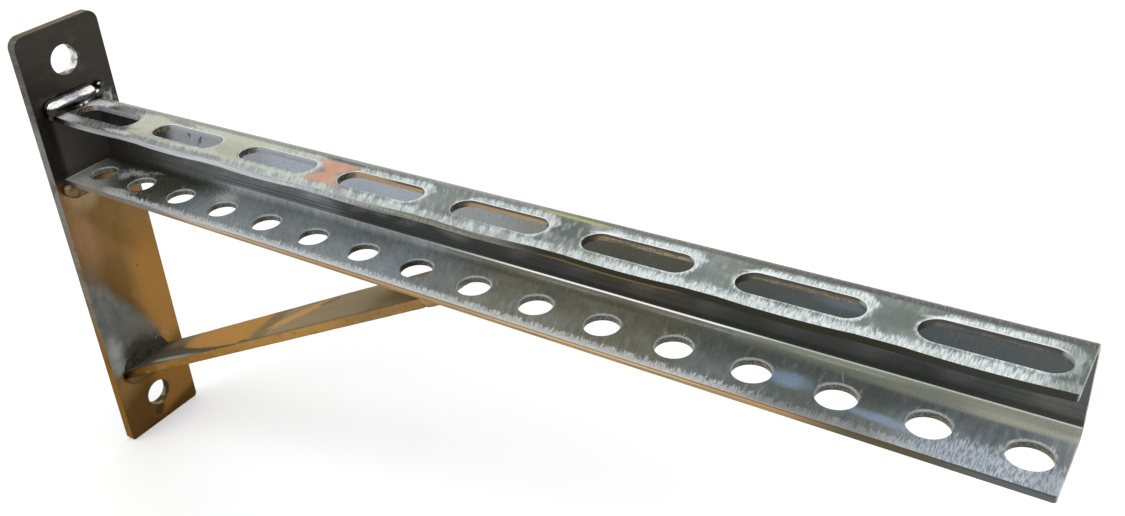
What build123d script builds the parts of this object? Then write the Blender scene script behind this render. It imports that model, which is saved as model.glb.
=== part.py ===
"""Welded steel wall bracket: a slotted channel arm on a bolted back plate, propped by a flat-bar brace.

All lengths are in millimetres. The origin lies on the wall, midway between the two wall bolts.
+X points along the arm away from the wall, +Y to the closed back of the channel, and +Z up.
"""

import math
import os

from build123d import *

os.makedirs("parts", exist_ok=True)

# Back plate: an upright flat bar with one bolt hole near each end
PLATE_WIDTH = 42.5
PLATE_HEIGHT = 210.0
PLATE_THICKNESS = 5.0
PLATE_TOP_CORNER_RADIUS = 5.0
PLATE_LOWER_CORNER_RADIUS = 2.0
PLATE_EDGE_BREAK = 0.5
BOLT_HOLE_DIAMETER = 13.0
BOLT_END_MARGIN = 16.0

# Arm: one folded channel, open to the front, with its lower flange the wider one
SHEET_THICKNESS = 2.5
INNER_BEND_RADIUS = 3.0
ARM_LENGTH = 396.0
ARM_HEIGHT = 32.0
UPPER_FLANGE_WIDTH = 27.0
LOWER_FLANGE_WIDTH = 29.5
ARM_DROP_FROM_PLATE_TOP = 36.5
ARM_OFFSET_FROM_BOLT_LINE = 1.5
FREE_CORNER_RADIUS = 1.0

# Row of round holes in the lower flange
HOLE_PITCH = 25.0
HOLE_DIAMETER = 12.0
FIRST_HOLE_FROM_PLATE = 12.0
HOLE_ROW_FROM_EDGE = 12.25
LEAST_METAL_PAST_ROW = 2.5

# Row of long slots in the upper flange, each midway over its own group of round holes
HOLES_PER_SLOT = 2
SLOT_LENGTH = 36.5
SLOT_WIDTH = 11.0
SLOT_ROW_FROM_EDGE = 11.0

# The punch pushed the upper flange's free edge out a little beside each slot
EDGE_BULGE = 0.8
BULGE_LENGTH = 38.0

# Brace: a square-cut flat bar from the plate up to the arm's underside
BRACE_WIDTH = 28.0
BRACE_THICKNESS = 4.0
BRACE_REACH = 198.0
BRACE_END_GAP = 1.5
BRACE_FOOT_ABOVE_LOWER_BOLT = 23.0
BRACE_EDGE_RADIUS = 0.4

# Weld beads: each is a round run of metal in its corner, cut off by the faces that it joins
TOP_BEAD_RADIUS = 3.9
TOP_BEAD_STANDOFF = 2.0
TOP_BEAD_RISE = 3.3
TOP_BEAD_PAST_EDGE = 3.0
TOP_BEAD_ONTO_BEND = 1.25
UNDER_BEAD_RADIUS = 4.4
UNDER_BEAD_STANDOFF = 2.3
UNDER_BEAD_PAST_EDGE = 2.8
FOOT_BEAD_RADIUS = 3.2
FOOT_BEAD_STANDOFF = 3.0
PLUG_BEAD_RADIUS = 4.2
PLUG_BEAD_STANDOFF = 1.9
PLUG_BEAD_DROP = 0.4
PLUG_BEAD_PAST_EDGE = 0.5
HEAD_BEAD_LENGTH = 10.0
HEAD_BEAD_HOLLOW = 0.3
HEAD_BEAD_HOLE_CLEARANCE = 0.5
BEAD_INSET = 0.8
BEAD_TIP_SHARE = 0.45

# Positions that follow from the sizes above
BOLT_SPACING = PLATE_HEIGHT - 2 * BOLT_END_MARGIN
ARM_TOP = PLATE_HEIGHT / 2 - ARM_DROP_FROM_PLATE_TOP
ARM_UNDERSIDE = ARM_TOP - ARM_HEIGHT
ARM_MID_Y = -ARM_OFFSET_FROM_BOLT_LINE
ARM_BACK = ARM_MID_Y + LOWER_FLANGE_WIDTH / 2
LOWER_EDGE = ARM_BACK - LOWER_FLANGE_WIDTH
UPPER_EDGE = ARM_BACK - UPPER_FLANGE_WIDTH
OUTER_BEND_RADIUS = INNER_BEND_RADIUS + SHEET_THICKNESS
BEND_START = ARM_BACK - OUTER_BEND_RADIUS
SLOT_PITCH = HOLE_PITCH * HOLES_PER_SLOT
ROW_ROOM = ARM_LENGTH - LEAST_METAL_PAST_ROW - HOLE_DIAMETER / 2 - FIRST_HOLE_FROM_PLATE
SLOT_COUNT = math.floor((ROW_ROOM + HOLE_PITCH) / SLOT_PITCH)
HOLE_COUNT = SLOT_COUNT * HOLES_PER_SLOT
ROW_MIDDLE = PLATE_THICKNESS + FIRST_HOLE_FROM_PLATE + HOLE_PITCH * (HOLE_COUNT - 1) / 2
BRACE_FOOT = -BOLT_SPACING / 2 + BRACE_FOOT_ABOVE_LOWER_BOLT
BRACE_HEAD = PLATE_THICKNESS + BRACE_REACH
BRACE_SLOPE = math.atan2(ARM_UNDERSIDE - BRACE_FOOT, BRACE_REACH)
BRACE_LENGTH = math.hypot(ARM_UNDERSIDE - BRACE_FOOT, BRACE_REACH) - BRACE_END_GAP
BRACE_FRONT = ARM_MID_Y - BRACE_WIDTH / 2
BRACE_BACK = ARM_MID_Y + BRACE_WIDTH / 2

PLATE_FACE_PLANE = Plane.YZ.offset(PLATE_THICKNESS)
ARM_TOP_PLANE = Plane.XY.offset(ARM_TOP)
ARM_UNDERSIDE_PLANE = Plane.XY.offset(ARM_UNDERSIDE)
BRACE_AXIS = Vector(math.cos(BRACE_SLOPE), 0, math.sin(BRACE_SLOPE))
BRACE_NORMAL = Vector(-math.sin(BRACE_SLOPE), 0, math.cos(BRACE_SLOPE))
BRACE_FOOT_POINT = Vector(PLATE_THICKNESS, ARM_MID_Y, BRACE_FOOT)
BRACE_END_POINT = BRACE_FOOT_POINT + BRACE_AXIS * BRACE_LENGTH
BRACE_MIDDLE_PLANE = Plane.XZ.offset(-ARM_MID_Y)
BRACE_SIDE_PLANE = Plane(BRACE_FOOT_POINT, x_dir=BRACE_AXIS, z_dir=(0, -1, 0))
ON_BASE = (Align.CENTER, Align.CENTER, Align.MIN)


def lay_run(x, z, front, back, radius, starts_round=False):
    """Lay metal in a straight round run along Y that tapers at its ends, or starts with a round blob."""
    start, stop = Vector(x, front + radius, z), Vector(x, back - radius, z)
    with Locations(Location(start, (-90, 0, 0))):
        Cylinder(radius, stop.Y - start.Y, align=ON_BASE)
    with Locations(Location(stop, (-90, 0, 0))):
        Cone(radius, radius * BEAD_TIP_SHARE, radius, align=ON_BASE)
    if starts_round:
        with Locations(start):
            Sphere(radius)
    else:
        with Locations(Location(start, (90, 0, 0))):
            Cone(radius, radius * BEAD_TIP_SHARE, radius, align=ON_BASE)


with BuildPart() as back_plate:
    with BuildSketch(Plane.YZ) as plate_outline:
        Rectangle(PLATE_WIDTH, PLATE_HEIGHT)
        lower_corners, upper_corners = plate_outline.vertices().group_by(Axis.Y)
        fillet(lower_corners, PLATE_LOWER_CORNER_RADIUS)
        fillet(upper_corners, PLATE_TOP_CORNER_RADIUS)
        with GridLocations(PLATE_WIDTH, BOLT_SPACING, 1, 2):
            Circle(BOLT_HOLE_DIAMETER / 2, mode=Mode.SUBTRACT)
    extrude(amount=PLATE_THICKNESS)
    rims = [face.outer_wire() for face in back_plate.faces().filter_by(Axis.X)]
    chamfer([edge for rim in rims for edge in rim.edges()], PLATE_EDGE_BREAK)
back_plate.part.label = "back_plate"


with BuildSketch() as bulge_outline:
    with BuildLine():
        ThreePointArc((-BULGE_LENGTH / 2, 0), (0, -EDGE_BULGE), (BULGE_LENGTH / 2, 0))
        Line((BULGE_LENGTH / 2, 0), (-BULGE_LENGTH / 2, 0))
    make_face()

with BuildPart() as arm:
    # Folded section: a box profile opened to the front, its upper flange cut back, then bent corners
    with BuildSketch(PLATE_FACE_PLANE) as section:
        with Locations((ARM_BACK, ARM_TOP)):
            Rectangle(LOWER_FLANGE_WIDTH, ARM_HEIGHT, align=Align.MAX)
        with Locations((ARM_BACK - SHEET_THICKNESS, ARM_TOP - SHEET_THICKNESS)):
            Rectangle(
                LOWER_FLANGE_WIDTH - SHEET_THICKNESS,
                ARM_HEIGHT - 2 * SHEET_THICKNESS,
                align=Align.MAX,
                mode=Mode.SUBTRACT,
            )
        with Locations((UPPER_EDGE, ARM_TOP)):
            Rectangle(
                LOWER_FLANGE_WIDTH - UPPER_FLANGE_WIDTH,
                ARM_HEIGHT - SHEET_THICKNESS,
                align=Align.MAX,
                mode=Mode.SUBTRACT,
            )
        inner_corners, outer_corners = section.vertices().group_by(Axis.X)[-2:]
        fillet(inner_corners, INNER_BEND_RADIUS)
        fillet(outer_corners, OUTER_BEND_RADIUS)
    extrude(amount=ARM_LENGTH)
    free_corners = arm.edges().filter_by(Axis.Z).group_by(Axis.X)[-1].sort_by(Axis.Y)[:2]
    fillet(free_corners, FREE_CORNER_RADIUS)

    # Free edge of the upper flange, pushed out beside each slot
    with BuildSketch(ARM_TOP_PLANE):
        with Locations((ROW_MIDDLE, UPPER_EDGE)), GridLocations(SLOT_PITCH, 1, SLOT_COUNT, 1):
            add(bulge_outline.sketch)
    extrude(amount=-SHEET_THICKNESS)

    # Slots through the upper flange, from above
    with BuildSketch(ARM_TOP_PLANE):
        with Locations((ROW_MIDDLE, UPPER_EDGE + SLOT_ROW_FROM_EDGE)):
            with GridLocations(SLOT_PITCH, 1, SLOT_COUNT, 1):
                SlotOverall(SLOT_LENGTH, SLOT_WIDTH)
    extrude(amount=-ARM_HEIGHT / 2, mode=Mode.SUBTRACT)

    # Round holes through the lower flange, from below
    with BuildSketch(ARM_UNDERSIDE_PLANE):
        with Locations((ROW_MIDDLE, LOWER_EDGE + HOLE_ROW_FROM_EDGE)):
            with GridLocations(HOLE_PITCH, 1, HOLE_COUNT, 1):
                Circle(HOLE_DIAMETER / 2)
    extrude(amount=ARM_HEIGHT / 2, mode=Mode.SUBTRACT)
arm.part.label = "arm"


with BuildPart() as brace:
    with BuildSketch(BRACE_SIDE_PLANE):
        Rectangle(BRACE_LENGTH, BRACE_THICKNESS, align=(Align.MIN, Align.MAX))
    extrude(amount=BRACE_WIDTH / 2, both=True)
    long_edges = brace.edges().filter_by(lambda edge: math.isclose(edge.length, BRACE_LENGTH))
    fillet(long_edges, BRACE_EDGE_RADIUS)
brace.part.label = "brace"


with BuildPart() as arm_top_weld:
    top_bead_x = PLATE_THICKNESS + TOP_BEAD_STANDOFF
    top_bead_z = ARM_TOP + TOP_BEAD_RISE
    top_bead_front = UPPER_EDGE - TOP_BEAD_PAST_EDGE
    top_bead_back = BEND_START + TOP_BEAD_ONTO_BEND
    lay_run(top_bead_x, top_bead_z, top_bead_front, top_bead_back, TOP_BEAD_RADIUS, starts_round=True)
    add([back_plate.part, arm.part], mode=Mode.SUBTRACT)
arm_top_weld.part.label = "arm_top_weld"


with BuildPart() as arm_under_weld:
    under_bead_x = PLATE_THICKNESS + UNDER_BEAD_STANDOFF
    under_bead_z = ARM_UNDERSIDE - UNDER_BEAD_STANDOFF
    under_bead_front = LOWER_EDGE - UNDER_BEAD_PAST_EDGE
    lay_run(under_bead_x, under_bead_z, under_bead_front, BEND_START, UNDER_BEAD_RADIUS, starts_round=True)
    add([back_plate.part, arm.part], mode=Mode.SUBTRACT)
arm_under_weld.part.label = "arm_under_weld"


with BuildPart() as brace_plug_weld:
    # Wedge of metal behind the brace's square end, then the bead below it
    lower_corner = BRACE_FOOT_POINT - BRACE_NORMAL * BRACE_THICKNESS
    with BuildSketch(BRACE_MIDDLE_PLANE):
        Polygon(
            (PLATE_THICKNESS, BRACE_FOOT),
            (lower_corner.X, lower_corner.Z),
            (PLATE_THICKNESS, lower_corner.Z),
            align=None,
        )
    extrude(amount=BRACE_WIDTH / 2 - BEAD_INSET, both=True)
    plug_bead_x = PLATE_THICKNESS + PLUG_BEAD_STANDOFF
    plug_bead_z = lower_corner.Z - PLUG_BEAD_DROP
    plug_bead_front = BRACE_FRONT - PLUG_BEAD_PAST_EDGE
    lay_run(plug_bead_x, plug_bead_z, plug_bead_front, BRACE_BACK - BEAD_INSET, PLUG_BEAD_RADIUS)
    add([back_plate.part, brace.part], mode=Mode.SUBTRACT)
brace_plug_weld.part.label = "brace_plug_weld"


with BuildPart() as brace_foot_weld:
    # The bead's axis lies on the line that halves the corner between plate and brace
    corner_half_angle = (math.pi / 2 - BRACE_SLOPE) / 2
    foot_bead_x = PLATE_THICKNESS + FOOT_BEAD_STANDOFF * math.sin(corner_half_angle)
    foot_bead_z = BRACE_FOOT + FOOT_BEAD_STANDOFF * math.cos(corner_half_angle)
    lay_run(foot_bead_x, foot_bead_z, BRACE_FRONT + BEAD_INSET, BRACE_BACK - BEAD_INSET, FOOT_BEAD_RADIUS)
    add([back_plate.part, brace.part, brace_plug_weld.part], mode=Mode.SUBTRACT)
brace_foot_weld.part.label = "brace_foot_weld"


with BuildPart() as brace_head_weld:
    # Wedge of metal between the brace's square end and the arm's underside, hollowed a little
    end_corner = BRACE_END_POINT - BRACE_NORMAL * BRACE_THICKNESS
    with BuildSketch(BRACE_MIDDLE_PLANE):
        with BuildLine():
            Polyline(
                (end_corner.X, end_corner.Z),
                (BRACE_END_POINT.X, BRACE_END_POINT.Z),
                (BRACE_END_POINT.X, ARM_UNDERSIDE),
                (BRACE_HEAD + HEAD_BEAD_LENGTH, ARM_UNDERSIDE),
            )
            SagittaArc(
                (BRACE_HEAD + HEAD_BEAD_LENGTH, ARM_UNDERSIDE),
                (end_corner.X, end_corner.Z),
                HEAD_BEAD_HOLLOW,
            )
        make_face()
    extrude(amount=BRACE_WIDTH / 2, both=True)
    # The round holes beside it stay open
    with BuildSketch(ARM_UNDERSIDE_PLANE):
        with Locations((ROW_MIDDLE, LOWER_EDGE + HOLE_ROW_FROM_EDGE)):
            with GridLocations(HOLE_PITCH, 1, HOLE_COUNT, 1):
                Circle(HOLE_DIAMETER / 2 + HEAD_BEAD_HOLE_CLEARANCE)
    extrude(amount=-ARM_HEIGHT / 2, mode=Mode.SUBTRACT)
brace_head_weld.part.label = "brace_head_weld"


export_step(back_plate.part, "parts/back_plate.step")
export_step(arm.part, "parts/arm.step")
export_step(brace.part, "parts/brace.step")
export_step(arm_top_weld.part, "parts/arm_top_weld.step")
export_step(arm_under_weld.part, "parts/arm_under_weld.step")
export_step(brace_foot_weld.part, "parts/brace_foot_weld.step")
export_step(brace_plug_weld.part, "parts/brace_plug_weld.step")
export_step(brace_head_weld.part, "parts/brace_head_weld.step")
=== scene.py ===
"""Looks of the welded and galvanised wall bracket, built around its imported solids.

Lengths inside the classes are in millimetres, as on a workshop drawing, and become metres where a mesh
is made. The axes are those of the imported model: +X out from the wall, +Y to the channel's back, +Z up.
"""

import logging
import math
from collections.abc import Iterable, Mapping, Sequence
from dataclasses import dataclass, field
from enum import Enum
from typing import Any

import bmesh
import bpy
from mathutils import Matrix, Vector, noise


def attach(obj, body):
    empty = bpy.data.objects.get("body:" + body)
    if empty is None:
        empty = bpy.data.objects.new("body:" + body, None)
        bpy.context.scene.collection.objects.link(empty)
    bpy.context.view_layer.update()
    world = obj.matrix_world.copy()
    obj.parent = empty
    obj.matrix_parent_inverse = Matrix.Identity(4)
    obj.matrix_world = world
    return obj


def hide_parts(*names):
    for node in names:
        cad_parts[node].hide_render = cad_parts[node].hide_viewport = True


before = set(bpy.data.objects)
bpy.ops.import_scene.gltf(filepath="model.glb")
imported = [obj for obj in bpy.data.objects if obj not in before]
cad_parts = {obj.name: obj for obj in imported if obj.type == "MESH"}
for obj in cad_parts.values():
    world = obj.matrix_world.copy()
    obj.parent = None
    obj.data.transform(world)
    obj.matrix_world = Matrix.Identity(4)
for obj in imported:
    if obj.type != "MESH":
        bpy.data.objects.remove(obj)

LOG = logging.getLogger("wall_bracket")
MM = 0.001
PHOTO_WIDTH, PHOTO_HEIGHT = 1125, 516
BRIGHTEST = 0.96
SAME_POINT = 1e-7
SHARP_ANGLE = math.radians(40.0)

# Faces and corners of the solids, in millimetres
PLATE_FACE = 5.0
ARM_TOP, ARM_UNDERSIDE = 68.5, 36.5
BRACE_FOOT = -66.0
BRACE_REACH, BRACE_RISE = 198.0, 102.5
BRACE_SLOPE = math.atan2(BRACE_RISE, BRACE_REACH)
FIRST_DROP = (9.0, 9.2, 70.6)

Colour = tuple[float, float, float]


class Wire:
    """A node's socket that takes part in Python arithmetic and adds the Math nodes for it."""

    def __init__(self, bench: "Bench", socket: bpy.types.NodeSocket) -> None:
        """Wraps one output socket of a node on the bench."""
        self.bench = bench
        self.socket = socket

    def math(self, operation: str, *values: Any) -> "Wire":
        """Runs a Math node.

        Args:
            operation: the Math node's operation.
            *values: its inputs in order, wires or numbers.

        Returns:
            The result as a wire.
        """
        sockets = dict(enumerate(values))
        return self.bench.wire("ShaderNodeMath", {"operation": operation}, sockets)

    def __add__(self, other: Any) -> "Wire":
        """Adds."""
        return self.math("ADD", self, other)

    __radd__ = __add__

    def __sub__(self, other: Any) -> "Wire":
        """Subtracts."""
        return self.math("SUBTRACT", self, other)

    def __rsub__(self, other: Any) -> "Wire":
        """Subtracts this wire from a number."""
        return self.math("SUBTRACT", other, self)

    def __mul__(self, other: Any) -> "Wire":
        """Multiplies."""
        return self.math("MULTIPLY", self, other)

    __rmul__ = __mul__

    def __truediv__(self, other: Any) -> "Wire":
        """Divides."""
        return self.math("DIVIDE", self, other)

    def __pow__(self, other: Any) -> "Wire":
        """Raises to a power."""
        return self.math("POWER", self, other)

    def __abs__(self) -> "Wire":
        """Drops the sign."""
        return self.math("ABSOLUTE", self)

    def high(self, other: Any) -> "Wire":
        """Takes the larger of the two."""
        return self.math("MAXIMUM", self, other)

    def repeat(self, half: float) -> "Wire":
        """Wraps the value into -half to half, so that a row of like things shares one pattern."""
        return self.math("WRAP", self, half, -half)

    def fade(self, start: float, end: float) -> "Wire":
        """Goes smoothly from 0 at start to 1 at end, which may be the lower of the two."""
        sockets = {"Value": self, "From Min": start, "From Max": end}
        return self.bench.wire("ShaderNodeMapRange", {"interpolation_type": "SMOOTHSTEP"}, sockets)

    def between(self, low: float, high: float, soft: float) -> "Wire":
        """Is 1 from low to high, and fades out within soft on either side."""
        return self.fade(low - soft, low + soft) * self.fade(high + soft, high - soft)


class Bench:
    """Adds and links nodes in one node tree, of a material or of Geometry Nodes."""

    def __init__(self, tree: bpy.types.NodeTree) -> None:
        """Starts with an empty tree."""
        self.tree = tree
        tree.nodes.clear()

    def node(
        self,
        kind: str,
        settings: Mapping[str, Any] | None = None,
        sockets: Mapping[str | int, Any] | None = None,
    ) -> bpy.types.Node:
        """Adds a node.

        Args:
            kind: the node's type.
            settings: its properties, which are set first.
            sockets: values, wires or sockets for its inputs, by name, identifier or place.

        Returns:
            The new node.
        """
        made = self.tree.nodes.new(kind)
        for name, value in (settings or {}).items():
            setattr(made, name, value)
        for key, value in (sockets or {}).items():
            self.feed(self.find(made.inputs, key), value)
        return made

    @staticmethod
    def find(sockets: Any, key: str | int) -> bpy.types.NodeSocket:
        """Finds a socket by its place, its identifier or its name.

        Args:
            sockets: a node's inputs or outputs.
            key: the socket's place, identifier or name.

        Returns:
            The socket.
        """
        if isinstance(key, int):
            return sockets[key]
        return next((s for s in sockets if s.identifier == key), None) or sockets[key]

    def feed(self, socket: bpy.types.NodeSocket, value: Any) -> None:
        """Links a wire or socket to an input, or sets the input's own value.

        Args:
            socket: the input.
            value: a wire, a socket, a tone, a colour or any value that the input takes.
        """
        if isinstance(value, Enum):
            value = value.value
        if isinstance(value, Wire):
            value = value.socket
        if isinstance(value, bpy.types.NodeSocket):
            self.tree.links.new(value, socket)
        elif socket.type == "RGBA" and len(value) == 3:
            socket.default_value = (*value, 1.0)
        else:
            socket.default_value = value

    def wire(
        self,
        kind: str,
        settings: Mapping[str, Any] | None = None,
        sockets: Mapping[str | int, Any] | None = None,
        output: str | int = 0,
    ) -> Wire:
        """Adds a node as node() does, and returns one of its outputs as a wire."""
        return Wire(self, self.find(self.node(kind, settings, sockets).outputs, output))


class Graph(Bench):
    """A material's tree, with positions in millimetres and layers of colour."""

    def __init__(self, material: bpy.types.Material) -> None:
        """Reads the piece's own coordinates and normal.

        Args:
            material: the material, which uses nodes.
        """
        super().__init__(material.node_tree)
        coordinates = self.node("ShaderNodeTexCoord")
        scaled = {0: coordinates.outputs["Object"], "Scale": 1 / MM}
        self.place = self.wire("ShaderNodeVectorMath", {"operation": "SCALE"}, scaled)
        parts = self.node("ShaderNodeSeparateXYZ", None, {0: self.place})
        self.x, self.y, self.z = (Wire(self, out) for out in parts.outputs)
        facing = self.node("ShaderNodeSeparateXYZ", None, {0: coordinates.outputs["Normal"]})
        self.nx, self.ny, self.nz = (Wire(self, out) for out in facing.outputs)

    def grain(
        self,
        lengths: Sequence[float],
        detail: float = 2.0,
        turn: Sequence[float] = (0.0, 0.0, 0.0),
        shift: Sequence[float] = (0.0, 0.0, 0.0),
        rough: float = 0.5,
        bend: float = 0.0,
        place: Wire | None = None,
    ) -> Wire:
        """Makes a noise whose features have the given lengths.

        Args:
            lengths: size of a feature along each axis, in millimetres.
            detail: octaves of finer noise.
            turn: rotation of the pattern, in radians.
            shift: start of the pattern, in millimetres, so that no two are alike.
            rough: share of the finer octaves.
            bend: how far the pattern is distorted.
            place: other coordinates than the piece's own, in millimetres.

        Returns:
            The noise from 0 to 1, mostly between 0.3 and 0.7.
        """
        placed = self.wire(
            "ShaderNodeMapping",
            {"vector_type": "TEXTURE"},
            {"Vector": place or self.place, "Location": shift, "Rotation": turn, "Scale": lengths},
        )
        sockets = {"Vector": placed, "Scale": 1.0, "Detail": detail, "Roughness": rough, "Distortion": bend}
        return self.wire("ShaderNodeTexNoise", None, sockets, "Fac")

    def lay(self, under: Any, mask: Any, over: Any) -> Wire:
        """Lays one colour over another where the mask is 1."""
        sockets = {"Factor_Float": mask, "A_Color": under, "B_Color": over}
        return self.wire("ShaderNodeMix", {"data_type": "RGBA"}, sockets, "Result_Color")

    def layers(self, under: Any, *layers: tuple[Any, Any]) -> Wire:
        """Lays several colours over each other.

        Args:
            under: the lowest colour.
            *layers: a mask and a colour for each further layer, from the lowest to the highest.

        Returns:
            The colour that is seen on top.
        """
        for mask, over in layers:
            under = self.lay(under, mask, over)
        return under

    def shade(self, colour: Any, amount: Any) -> Wire:
        """Multiplies a colour by a number, and keeps it under white."""
        scaled = self.wire("ShaderNodeVectorMath", {"operation": "SCALE"}, {0: colour, "Scale": amount})
        return self.wire("ShaderNodeVectorMath", {"operation": "MINIMUM"}, {0: scaled, 1: (BRIGHTEST,) * 3})

    def patch(
        self,
        across: Wire,
        up: Wire,
        centre: Sequence[float],
        reach: Sequence[float],
        turn: float = 0.0,
        rough: Any = 0.0,
        soft: float = 0.25,
    ) -> Wire:
        """Masks an oval spot on a face.

        Args:
            across: place along the face's first direction, in millimetres.
            up: place along its second direction.
            centre: the oval's middle in these two directions.
            reach: its half lengths.
            turn: its rotation from the first direction to the second, in radians.
            rough: how far its edge is pushed in, as a share of its half lengths.
            soft: width of its soft edge, as the same share.

        Returns:
            The mask, 1 inside the oval.
        """
        side, rise = across - centre[0], up - centre[1]
        if turn:
            cos, sin = math.cos(turn), math.sin(turn)
            side, rise = side * cos + rise * sin, rise * cos - side * sin
        away = ((side / reach[0]) ** 2 + (rise / reach[1]) ** 2) ** 0.5
        return (away + rough).fade(1 + soft, 1 - soft)

    def close(
        self,
        colour: Wire,
        roughness: Wire,
        height: Wire,
        depth: float,
        metallic: Any,
        sheen: tuple[Colour, float],
    ) -> None:
        """Ends the tree in a metal shader.

        Args:
            colour: the metal's colour.
            roughness: its roughness.
            height: relief from 0 to 1.
            depth: the relief's depth in millimetres.
            metallic: share of bare metal, a number or a wire.
            sheen: colour of its reflection at grazing angles, and strength of its clear reflection.
        """
        bump = {"Strength": 1.0, "Distance": depth * MM, "Height": height}
        relief = self.wire("ShaderNodeBump", None, bump, "Normal")
        sockets = {"Base Color": colour, "Roughness": roughness, "Metallic": metallic, "Normal": relief}
        sockets |= {"Specular Tint": (*sheen[0], 1.0), "Specular IOR Level": sheen[1]}
        metal = self.node("ShaderNodeBsdfPrincipled", None, sockets)
        self.node("ShaderNodeOutputMaterial", None, {"Surface": metal.outputs["BSDF"]})


class Tone(Enum):
    """Colours of the zinc, as they render in plain light."""

    BLACK = (0.018, 0.017, 0.014)
    UMBER = (0.043, 0.038, 0.032)
    OLIVE = (0.072, 0.074, 0.052)
    SLATE = (0.110, 0.125, 0.130)
    MIST = (0.145, 0.162, 0.170)
    STEEL = (0.205, 0.235, 0.220)
    ASH = (0.320, 0.325, 0.290)
    SILVER = (0.440, 0.485, 0.470)
    FROST = (0.700, 0.780, 0.775)
    WHITE = (0.930, 0.950, 0.950)
    LILAC = (0.310, 0.335, 0.365)
    BLUE = (0.165, 0.225, 0.300)
    CREAM = (0.545, 0.555, 0.425)
    LIME = (0.420, 0.430, 0.120)
    TAN = (0.420, 0.285, 0.145)
    BROWN = (0.110, 0.056, 0.018)


# Colour, wear from 0 to 1, relief from 0 to 1, and share of bare metal
Painted = tuple[Wire, Wire, Wire, Any]


@dataclass(frozen=True)
class Finish:
    """A zinc finish: its name and how shiny it is."""

    name: str
    smooth: float = 0.16
    dull: float = 0.42
    depth: float = 0.05
    edge_tint: Colour = (1, 1, 1)
    gloss: float = 0.5

    def material(self) -> bpy.types.Material:
        """Makes the material.

        Returns:
            The finished material.
        """
        made = bpy.data.materials.new(self.name)
        made.use_nodes = True
        graph = Graph(made)
        colour, wear, height, metallic = self.paint(graph)
        roughness = self.smooth + (self.dull - self.smooth) * wear
        graph.close(colour, roughness, height, self.depth, metallic, (self.edge_tint, self.gloss))
        return made

    def paint(self, graph: Graph) -> Painted:
        """Paints the plain zinc that hidden sides have.

        Args:
            graph: the material's tree.

        Returns:
            The painted surface.
        """
        return (*self.plain(graph), 1)

    def plain(self, graph: Graph) -> tuple[Wire, Wire, Wire]:
        """Plain zinc: slow clouds, soft crystals and fine runs.

        Args:
            graph: the material's tree.

        Returns:
            Colour, wear from 0 to 1 and relief from 0 to 1.
        """
        clouds = graph.grain((34, 22, 30), detail=3)
        crystals = graph.grain((5, 5, 5), detail=1.5, bend=1.2)
        runs = graph.grain((2.2, 2.2, 26), detail=2)
        mixed = clouds * 0.5 + crystals * 0.3 + runs * 0.2
        colour = graph.lay(Tone.STEEL, mixed.fade(0.36, 0.62), Tone.SILVER)
        return colour, mixed.fade(0.66, 0.34), mixed


@dataclass(frozen=True)
class Flanges:
    """The arm's free edges and its two rows of openings, in millimetres."""

    top_front: float = -13.75
    low_front: float = -16.25
    slot_start: float = 29.5
    slot_pitch: float = 50.0
    slot_count: int = 8
    slot_y: float = -2.75
    slot_radius: float = 5.5
    slot_straight: float = 25.5
    hole_start: float = 17.0
    hole_pitch: float = 25.0
    hole_count: int = 16
    hole_y: float = -4.0
    hole_radius: float = 6.0


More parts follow.
